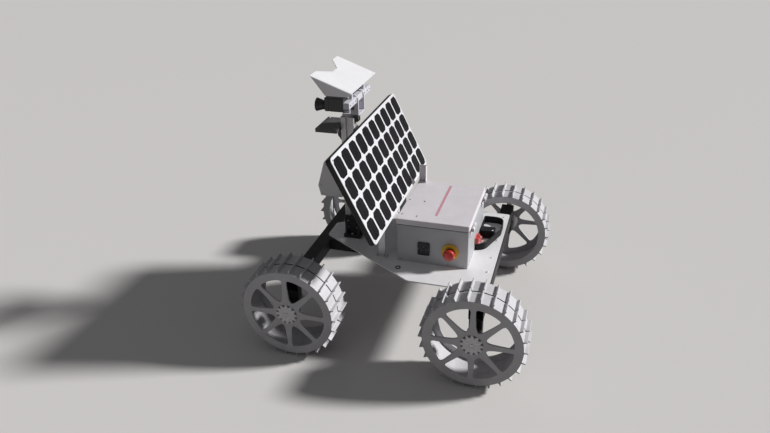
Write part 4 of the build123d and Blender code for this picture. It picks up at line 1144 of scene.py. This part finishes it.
# the lid: rings run over its rounded edge, down the skirt to a rolled hem and up inside
def makeLid():
    b, k = lidLook, hingeLook
    low, high = boxOf("enclosure_lid")
    top, base, back = high[2], high[2] - b["skirt"], low[0] + b["behind"]
    hem, out, edge, wall = base + b["hem"], b["hemOut"], b["edge"], b["wall"]
    outline = roundedBox((back, low[1]), (high[0], high[1]), b["corner"])
    profile = [(3.3, top)]
    profile += [(out + edge * (1 - math.cos(a)), top - edge * (1 - math.sin(a)))
                for a in np.radians(ramp(90, 0, 6))]
    profile += [(out, hem + 0.6), (0.1, hem - 0.3), (0, hem - 1.2), (0, base + 1.2), (0.4, base + 0.3),
                (1.0, base), (wall, base + 0.4), (wall, base + 1.5), (wall, top - 3.5),
                (wall + 1.0, top - wall), (3.3, top - wall)]
    sheets = walled(outline, profile, standing("z", 0.0))
    radius, half = k["knuckle"], k["knuckleHalf"]
    x, z = low[0] + radius, base + 1.0
    roll = eased([(0, -half), (radius, -half), (radius, half), (0, half)], 0.5)
    for side in (1, -1):
        y = side * k["y"]
        sheets.append(turned(roll, (x, y, z), "y", 28, mark=1))
        sheets += easedBox((x, y - half, z), (back + 1.0, y + half, z + k["leaf"]), k["edge"], 1)
    sheets += screwSheets([(x, y, top) for x, y in b["screws"]], b["screw"], mark=2)
    makePiece("enclosureLid", sheets, ("lidPaint", "boxGreyWithPaintedShade", "steel"), "lid", ("enclosure_lid",))
    near, far = b["stripeX"] - b["stripeHalf"], b["stripeX"] + b["stripeHalf"]
    start, end = b["stripeY"]
    line = eased([(near, start), (far, start), (far, end), (near, end)], 1.0, 3, True)
    stripe = walled(line, [(0, -0.2), (0, 0.1), (0.3, 0.2), (0.6, 0.2)], standing("z", top))
    makePiece("lidStripe", stripe, "stripeRed", "lid")


bracketLook = {"sheet": 3.0, "edge": 0.9, "screw": (2.6, 1.6), "screwX": (9, 21), "screwY": 11.5}


# the bracket: two upright sheets and a floor
def makeBracket():
    b = bracketLook
    low, high = boxOf("lid_bracket")
    thick, floor = b["sheet"], low[2] + b["sheet"]
    sheets = easedBox(low, (high[0], low[1] + thick, high[2]), b["edge"])
    sheets += easedBox(low, (low[0] + thick, high[1], high[2]), b["edge"])
    sheets += easedBox(low, (high[0], high[1], floor), b["edge"])
    screws = [(low[0] + x, low[1] + b["screwY"], floor) for x in b["screwX"]]
    sheets += screwSheets(screws, b["screw"], mark=1)
    makePiece("lidBracket", sheets, ("lidPaint", "steel"), "lid", ("lid_bracket",))


# each hinge's fixed half: a wall leaf, a shelf and two knuckles beside the lid's own
def makeHinges():
    k = hingeLook
    low, high = boxOf("lid_hinges")
    back, wallX, radius, leaf, half = low[0], high[0], k["knuckle"], k["leaf"], k["half"]
    knuckleZ = high[2] - radius
    shelf = knuckleZ - k["leafDrop"]
    sheets = []
    for side in (1, -1):
        y = side * k["y"]
        sheets += easedBox((back, y - half, shelf - leaf), (wallX, y + half, shelf), k["edge"])
        sheets += easedBox((wallX - leaf, y - half, low[2]), (wallX, y + half, shelf), k["edge"])
        for way in (1, -1):
            near, far = sorted((y + way * (k["knuckleHalf"] + k["gap"]), y + way * half))
            roll = eased([(0, near), (radius, near), (radius, far), (0, far)], 0.5)
            sheets.append(turned(roll, (back + radius, 0, knuckleZ), "y", 28))
            sheets += easedBox((back, near, shelf - 1), (back + leaf, far, knuckleZ), k["edge"])
        spots = [(wallX - leaf, y + across, low[2] + k["screwUp"]) for across in k["screws"]]
        sheets += screwSheets(spots, k["screw"], "x", -1, 1)
    makePiece("lidHinges", sheets, ("lidPaint", "aluminium"), "root", ("lid_hinges",))


buttonLook = {"ringEdge": 5.0, "stem": 13.0, "capLong": 14.0, "capRim": 7.0, "collar": 16.5,
              "collarLong": 4.6}


# the stop button: a ring on the wall, a collar in it and a mushroom head on a stem
def makeStopButton():
    b = buttonLook
    low, high = boxOf("stop_button_ring")
    x, z = (low[0] + high[0]) / 2, (low[2] + high[2]) / 2
    radius, thick = (high[0] - low[0]) / 2, high[1] - low[1]
    ring = [(0, 0), (radius, 0), (radius, thick - 1.5), (radius - b["ringEdge"], thick), (0, thick)]
    ring = turned(eased(ring, [0, 0.2, 1.2, 1.5, 0]), (x, low[1], z), "y", 64)
    makePiece("stopRing", [ring], "yellowPlastic", "root", ("stop_button_ring",))
    low, high = boxOf("stop_button_head")
    radius, deep, collar, tall = (high[0] - low[0]) / 2, high[1] - low[1], b["collar"], b["collarLong"]
    start = deep - b["capLong"]
    head = [(0, 0), (b["stem"], 0), (b["stem"], start), (radius, start), (radius, start + b["capRim"]),
            (radius - 3.4, deep - 1.6), (8, deep), (0, deep)]
    head = turned(eased(head, [0, 0.3, 1.0, 1.2, 2.5, 4.0, 5.0, 0]), (x, low[1], z), "y", 64)
    collar = eased([(0, 0), (collar, 0), (collar, 2.4), (collar - 2.5, tall), (0, tall)], 0.5)
    makePiece("stopHead", [head, turned(collar, (x, low[1], z), "y", 48, mark=1)],
              ("redPlastic", "blackPlastic"), "root", ("stop_button_head",))


socketLook = {"corner": 5.0, "lip": 3.2, "deep": 2.0, "slotHalf": 1.4, "slotTall": 3.6,
              "slots": ((-7.5, -4.5), (7.5, -4.5), (0, 7.5)), "screw": (1.5, 0.3), "screwIn": 2.2}


# the socket: a rounded frame round a sunk floor with three slots
def makeSocket():
    s = socketLook
    low, high = boxOf("power_socket")
    face, floor, lip = high[1], high[1] - s["deep"], s["lip"]
    profile = [(2, low[1]), (0, low[1]), (0, face - 0.8), (0.3, face - 0.2), (0.9, face), (lip - 0.3, face),
               (lip, face - 0.3), (lip, floor)]
    sheets = walled(roundedBox(low[[0, 2]], high[[0, 2]], s["corner"]), profile, standing("y", 0.0))
    middle, half, tall = (low + high) / 2, s["slotHalf"], s["slotTall"]
    for across, up in s["slots"]:
        x, z = middle[0] + across, middle[2] + up
        sheets += easedBox((x - half, floor - 0.5, z - tall), (x + half, floor + 0.25, z + tall), 0.2, 1)
    spots = [(x, face, middle[2]) for x in (low[0] + s["screwIn"], high[0] - s["screwIn"])]
    sheets += screwSheets(spots, s["screw"], "y", mark=2)
    makePiece("powerSocket", sheets, ("blackPlastic", "darkPaint", "steel"), "root", ("power_socket",))


makeBox()
makeLid()
makeBracket()
makeHinges()
makeStopButton()
makeSocket()
print("enclosure made")


# deck things: the tray with its battery, connectors and plugs, the grommet and the screws

trayLook = {"wall": 3.0, "shoulderY": -97.0, "nearSetback": 33.0, "nearY": 14.0,
            "corners": (9, 34, 50, 50, 9)}


# the tray's wall: rings of a rounded D outline go up outside, over the top and down inside
def makeTray():
    t = trayLook
    low, high = boxOf("rear_tray")
    line = [(high[0], low[1]), (low[0], low[1]), (low[0], t["shoulderY"]),
            (high[0] - t["nearSetback"], t["nearY"]), (high[0], high[1])]
    tall, wall = high[2] - low[2], t["wall"]
    profile = [(0.5, 0), (0, 0.5), (0, tall - 0.8), (0.2, tall - 0.2), (0.7, tall), (wall - 0.7, tall),
               (wall - 0.2, tall - 0.2), (wall, tall - 0.8), (wall, 0.5), (wall - 0.5, 0)]
    sheets = walled(eased(line, t["corners"], 12, True), profile, standing("z", low[2]), closed=True)
    makePiece("rearTray", sheets, "deepBlack", "root", ("rear_tray",))


packLook = {"corner": 4.0, "seamAt": 0.66, "seam": 0.7, "dot": 3.2, "dotX": 7.0, "dotY": 8.0}


# the tray's battery: rings go up its wall, into a seam below the cover and over the rounded top
def makeTrayBattery():
    b = packLook
    low, high = boxOf("tray_battery")
    tall, deep = high[2] - low[2], b["seam"]
    seam = tall * b["seamAt"]
    profile = [(2, 0), (0.6, 0), (0, 0.6), (0, seam), (deep, seam + 0.5), (deep, seam + 1.5), (0, seam + 2),
               (0, tall - 1.8), (0.5, tall - 0.5), (1.8, tall), (2.7, tall)]
    sheets = walled(roundedBox(low, high, b["corner"], 6), profile, standing("z", low[2]))
    dot = eased([(0, 0), (b["dot"], 0), (b["dot"], -1), (0, -1)], 0.3)
    spot = (low[0] + b["dotX"], high[1] - b["dotY"], high[2] + 0.5)
    sheets.append(turned(dot, spot, "z", 24, mark=1))
    makePiece("trayBattery", sheets, ("deepBlack", "hoodWhite"), "root", ("tray_battery",))


# each place is where a connector is along Y, and the numbers of its shell's and its caps' finishes
connectorLook = {"places": ((-46, 0, 1), (-26, 0, 1), (-6, 2, 2)), "half": 8.0, "shellDown": 3.0,
                 "caps": (-4, 4), "capHalf": 3.0, "capIn": 1.5, "capDown": 4.0}


# the connectors: each is a shell with two caps standing out of it
def makeConnectors():
    c = connectorLook
    low, high = boxOf("tray_connectors")
    half, capHalf, inset, top = c["half"], c["capHalf"], c["capIn"], high[2]
    sheets = []
    for y, shell, cap in c["places"]:
        sheets += easedBox((low[0], y - half, low[2]), (high[0], y + half, top - c["shellDown"]), 1.2, shell)
        for part in c["caps"]:
            sheets += easedBox((low[0] + inset, y + part - capHalf, top - c["capDown"]),
                               (high[0] - inset, y + part + capHalf, top), 0.9, cap)
    makePiece("trayConnectors", sheets, ("redPlastic", "paleRed", "headWhite"), "root", ("tray_connectors",))


plugLook = {"places": (0.0, 21.0), "low": 282.0, "high": 303.0, "out": 13.0, "half": 8.0, "frame": 2.0,
            "noseHalf": 4.0, "noseIn": 5.0,
            "terminalX": (-15, -4), "terminalY": (3, 16), "terminalHigh": 11.0}


# plugs on the box's rear wall, each a frame, a body and a nose, and a terminal block on the deck
def makeRearPlugs():
    p = plugLook
    wallX, deckZ = boxOf("enclosure_box")[0][0], boxOf("tray_connectors")[0][2]
    low, high, half, edge, end = p["low"], p["high"], p["half"], p["frame"], wallX - p["out"]
    rim = half + edge
    sheets = []
    for y in p["places"]:
        sheets += easedBox((wallX - 2.5, y - rim, low - edge), (wallX, y + rim, high + edge), 1.0, 1)
        sheets += easedBox((end, y - half, low), (wallX, y + half, high), 2.0)
        sheets += easedBox((end - 1.5, y - p["noseHalf"], low + p["noseIn"]),
                           (end + 1, y + p["noseHalf"], high - p["noseIn"]), 0.8, 1)
    (near, far), (right, left) = p["terminalX"], p["terminalY"]
    sheets += easedBox((wallX + near, right, deckZ), (wallX + far, left, deckZ + p["terminalHigh"]), 1.2, 2)
    makePiece("rearPlugs", sheets, ("redPlastic", "paleRed", "headWhite"), "root")


grommetLook = {"bore": 5.5, "under": -4.2, "top": 3.0}


# the grommet: a turned ring whose bore goes down into the deck
def makeGrommet():
    g = grommetLook
    low, high = boxOf("cable_grommet")
    outer, bore, under, top = (high[0] - low[0]) / 2, g["bore"], g["under"], g["top"]
    place = ((low[0] + high[0]) / 2, (low[1] + high[1]) / 2, low[2])
    ring = eased([(bore, under), (outer, 0), (outer, top - 1.4), (outer - 1.6, top), (bore + 1.2, top),
                  (bore, top - 1.2)], [0, 0.2, 1.0, 1.0, 1.0, 0])
    sheets = [turned(ring, place), turned([(bore, under), (bore, top - 1.2)], place)]
    makePiece("cableGrommet", sheets, "blackPlastic", "root", ("cable_grommet",))


# each (x, y) has a screw on the left and one on the right
deckScrewLook = {"places": ((-292, 60), (92, 60), (168, 60), (-292, 150), (-292, 235), (272, 30)),
                 "screw": (4.0, 2.4)}


def makeDeckScrews():
    s = deckScrewLook
    top = boxOf("deck_plate")[1][2]
    spots = [(x, side * y, top) for x, y in s["places"] for side in (1, -1)]
    makePiece("deckScrews", screwSheets(spots, s["screw"]), "whitePaint", "root")


driveLook = {"legHalf": 20.0, "legCorner": 12.0,
             "legScrew": (3.0, 2.0), "legScrews": (-11, 11), "legScrewDown": 9.0,
             "boxCorner": 16.0, "boxScrew": (2.8, 1.8), "boxScrews": (-16.5, 16.5),
             "bore": 7.0, "sealOut": 12.0,
             "motorRadius": 17.0, "motorLong": 26.0}


# drive units under the beam ends: a leg, a gearbox outside it and a motor inside it; each outline is
# drawn once about the axle's line and shifted to the four corners
def makeDriveUnits():
    d = driveLook
    legLow, legHigh = boxOf("wheel_legs")
    gearLow, gearHigh = boxOf("gearboxes")
    motorOut, legOut, gearOut = boxOf("drive_motors")[1][1], legHigh[1], gearHigh[1]
    axle, half = (gearLow[2] + gearHigh[2]) / 2, (gearHigh[2] - gearLow[2]) / 2
    bottom, top, wide, cut = legLow[2], legHigh[2], d["legHalf"], d["legCorner"]
    leg = eased([(-wide, top), (-wide, bottom + cut), (cut - wide, bottom), (wide - cut, bottom),
                 (wide, bottom + cut), (wide, top)], [3, 6, 6, 6, 6, 3], 6, True)
    case = roundedBox((-half, axle - half), (half, axle + half), d["boxCorner"], 5)
    grooves = bothEnds([(4, 0), (1.2, 0), (0.4, 0.4), (0, 1.2), (0, 9.5), (0.9, 9.8), (0.9, 10.6), (0, 10.9)],
                       gearOut - legOut)
    seal = eased([(d["bore"], -1.5), (d["bore"], 0.8), (d["sealOut"], 0.8), (d["sealOut"] + 1, 0)], 0.3)
    can, deep = d["motorRadius"], d["motorLong"]
    motor = eased([(0, 0), (can, 0), (can, 3), (can - 0.8, 3.5), (can - 0.8, deep - 6),
                   (can - 2.2, deep - 4.5), (can - 2.2, deep - 1.5), (can - 4, deep), (6.0, deep),
                   (5.4, deep - 0.8), (0, deep - 0.8)], 0.4)
    legs, gears, motors = [], [], []
    for fore, side in ((1, 1), (1, -1), (-1, 1), (-1, -1)):
        x = fore * (legHigh[0] - wide)
        legs += slab(leg + [x, 0], legOut - motorOut, 1.2, standing("y", side * motorOut, side))
        spots = [(x + i, side * motorOut, top - d["legScrewDown"]) for i in d["legScrews"]]
        legs += screwSheets(spots, d["legScrew"], "y", -side, 1)
        gears += walled(case + [x, 0], grooves, standing("y", side * legOut, side))
        gears.append(turned(seal, (x, side * gearOut, axle), "y", 40, mark=2, sign=side))
        spots = [(x + i, side * gearOut, axle + j) for i in d["boxScrews"] for j in d["boxScrews"]]
        gears += screwSheets(spots, d["boxScrew"], "y", side, 1)
        motors.append(turned(motor, (x, side * motorOut, axle), "y", 48, sign=-side))
    makePiece("wheelLegs", legs, ("blackPaint", "steel"), "root", ("wheel_legs",))
    makePiece("gearboxes", gears, ("steelDark", "steel", "blackPlastic"), "root", ("gearboxes",))
    makePiece("driveMotors", motors, "blackPlastic", "root", ("drive_motors",))


makeTray()
makeTrayBattery()
makeConnectors()
makeRearPlugs()
makeGrommet()
makeDeckScrews()
makeDriveUnits()
print("deck and drive units made")


# studio: pale floor, soft light and the camera of the photograph

studio = {
    "floorSize": 14.0,
    "floorColour": (0.70, 0.68, 0.66),
    "floorBounce": (0.28, 0.27, 0.26),
    "skyColour": (0.80, 0.81, 0.84),
    "skyLight": 0.16,
    "keyWay": (-0.80, -0.32, 0.62),
    "keySpread": 7.0,
    "keyPower": 4.1,
    "fillPlace": (1.2, 3.2, 2.6),
    "fillSize": 2.5,
    "fillPower": 2.8,
    "aim": (0.0, 0.0, 0.35),
}


# the floor: pale where it is seen, darker where its light bounces onto the rover
def makeFloor():
    half = studio["floorSize"] / 2
    mesh = bpy.data.meshes.new("floor")
    corners = [(-half, -half, 0), (half, -half, 0), (half, half, 0), (-half, half, 0)]
    mesh.from_pydata(corners, [], [(0, 1, 2, 3)])
    floor = bpy.data.objects.new("floor", mesh)
    bpy.context.scene.collection.objects.link(floor)
    material = bpy.data.materials.new("floorPale")
    material.use_nodes = True
    tree = material.node_tree
    shader = tree.nodes["Principled BSDF"]
    path = wire(tree, "ShaderNodeLightPath").outputs
    seen = sums(tree, "MAXIMUM", sums(tree, "MAXIMUM", path["Is Camera Ray"], path["Is Glossy Ray"]),
                path["Is Transmission Ray"])
    colour = blendColours(tree, seen, (*studio["floorBounce"], 1.0), (*studio["floorColour"], 1.0))
    tree.links.new(colour, shader.inputs["Base Color"])
    shader.inputs["Roughness"].default_value = 0.9
    shader.inputs["Specular IOR Level"].default_value = 0.1
    mesh.materials.append(material)


# the sky: pale where it is seen, weak as a light
def makeSky():
    world = bpy.data.worlds.new("softRoom")
    bpy.context.scene.world = world
    world.use_nodes = True
    tree = world.node_tree
    background = tree.nodes["Background"]
    background.inputs["Color"].default_value = (*studio["skyColour"], 1.0)
    ray = wire(tree, "ShaderNodeLightPath").outputs["Is Camera Ray"]
    tree.links.new(spread(tree, ray, 0.0, 1.0, studio["skyLight"], 1.0), background.inputs["Strength"])


# the key light is even over the whole floor, and the fill is a wide soft disc beside the camera
def makeLamps():
    key = bpy.data.lights.new("keyLamp", "SUN")
    key.energy, key.angle = studio["keyPower"], math.radians(studio["keySpread"])
    fill = bpy.data.lights.new("fillLamp", "AREA")
    fill.shape, fill.size, fill.energy = "DISK", studio["fillSize"], studio["fillPower"]
    for lamp, place in ((key, Vector(studio["keyWay"]) * 4), (fill, Vector(studio["fillPlace"]))):
        holder = bpy.data.objects.new(lamp.name, lamp)
        bpy.context.scene.collection.objects.link(holder)
        holder.location = place
        holder.rotation_euler = (Vector(studio["aim"]) - place).to_track_quat("-Z", "Y").to_euler()


# the camera stands where the photograph was taken from, worked out from the wheels, deck and panel
lens = {
    "place": (-0.5241, 1.9593, 1.3950),
    "yaw": 0.303,
    "pitch": -0.479,
    "roll": -0.024,
    "focalPixels": 671.04,
    "frameWidth": 770.0,
    "sensor": 36.0,
}


# yaw turns the view about Z from -Y, pitch raises it and roll turns the picture
def makeCamera():
    yaw, pitch, roll = lens["yaw"], lens["pitch"], lens["roll"]
    ahead = Vector((math.sin(yaw) * math.cos(pitch), -math.cos(yaw) * math.cos(pitch), math.sin(pitch)))
    level = ahead.cross(Vector((0, 0, 1))).normalized()
    over = level.cross(ahead)
    right = level * math.cos(roll) + over * math.sin(roll)
    up = over * math.cos(roll) - level * math.sin(roll)
    data = bpy.data.cameras.new("photoCamera")
    data.sensor_width = lens["sensor"]
    data.lens = lens["focalPixels"] * lens["sensor"] / lens["frameWidth"]
    camera = bpy.data.objects.new("photoCamera", data)
    bpy.context.scene.collection.objects.link(camera)
    turn = Matrix((right, up, -ahead)).transposed()
    camera.matrix_world = Matrix.Translation(lens["place"]) @ turn.to_4x4()
    bpy.context.scene.camera = camera


makeFloor()
makeSky()
makeLamps()
makeCamera()
bpy.context.scene.view_settings.view_transform = "Standard"
print("studio ready")
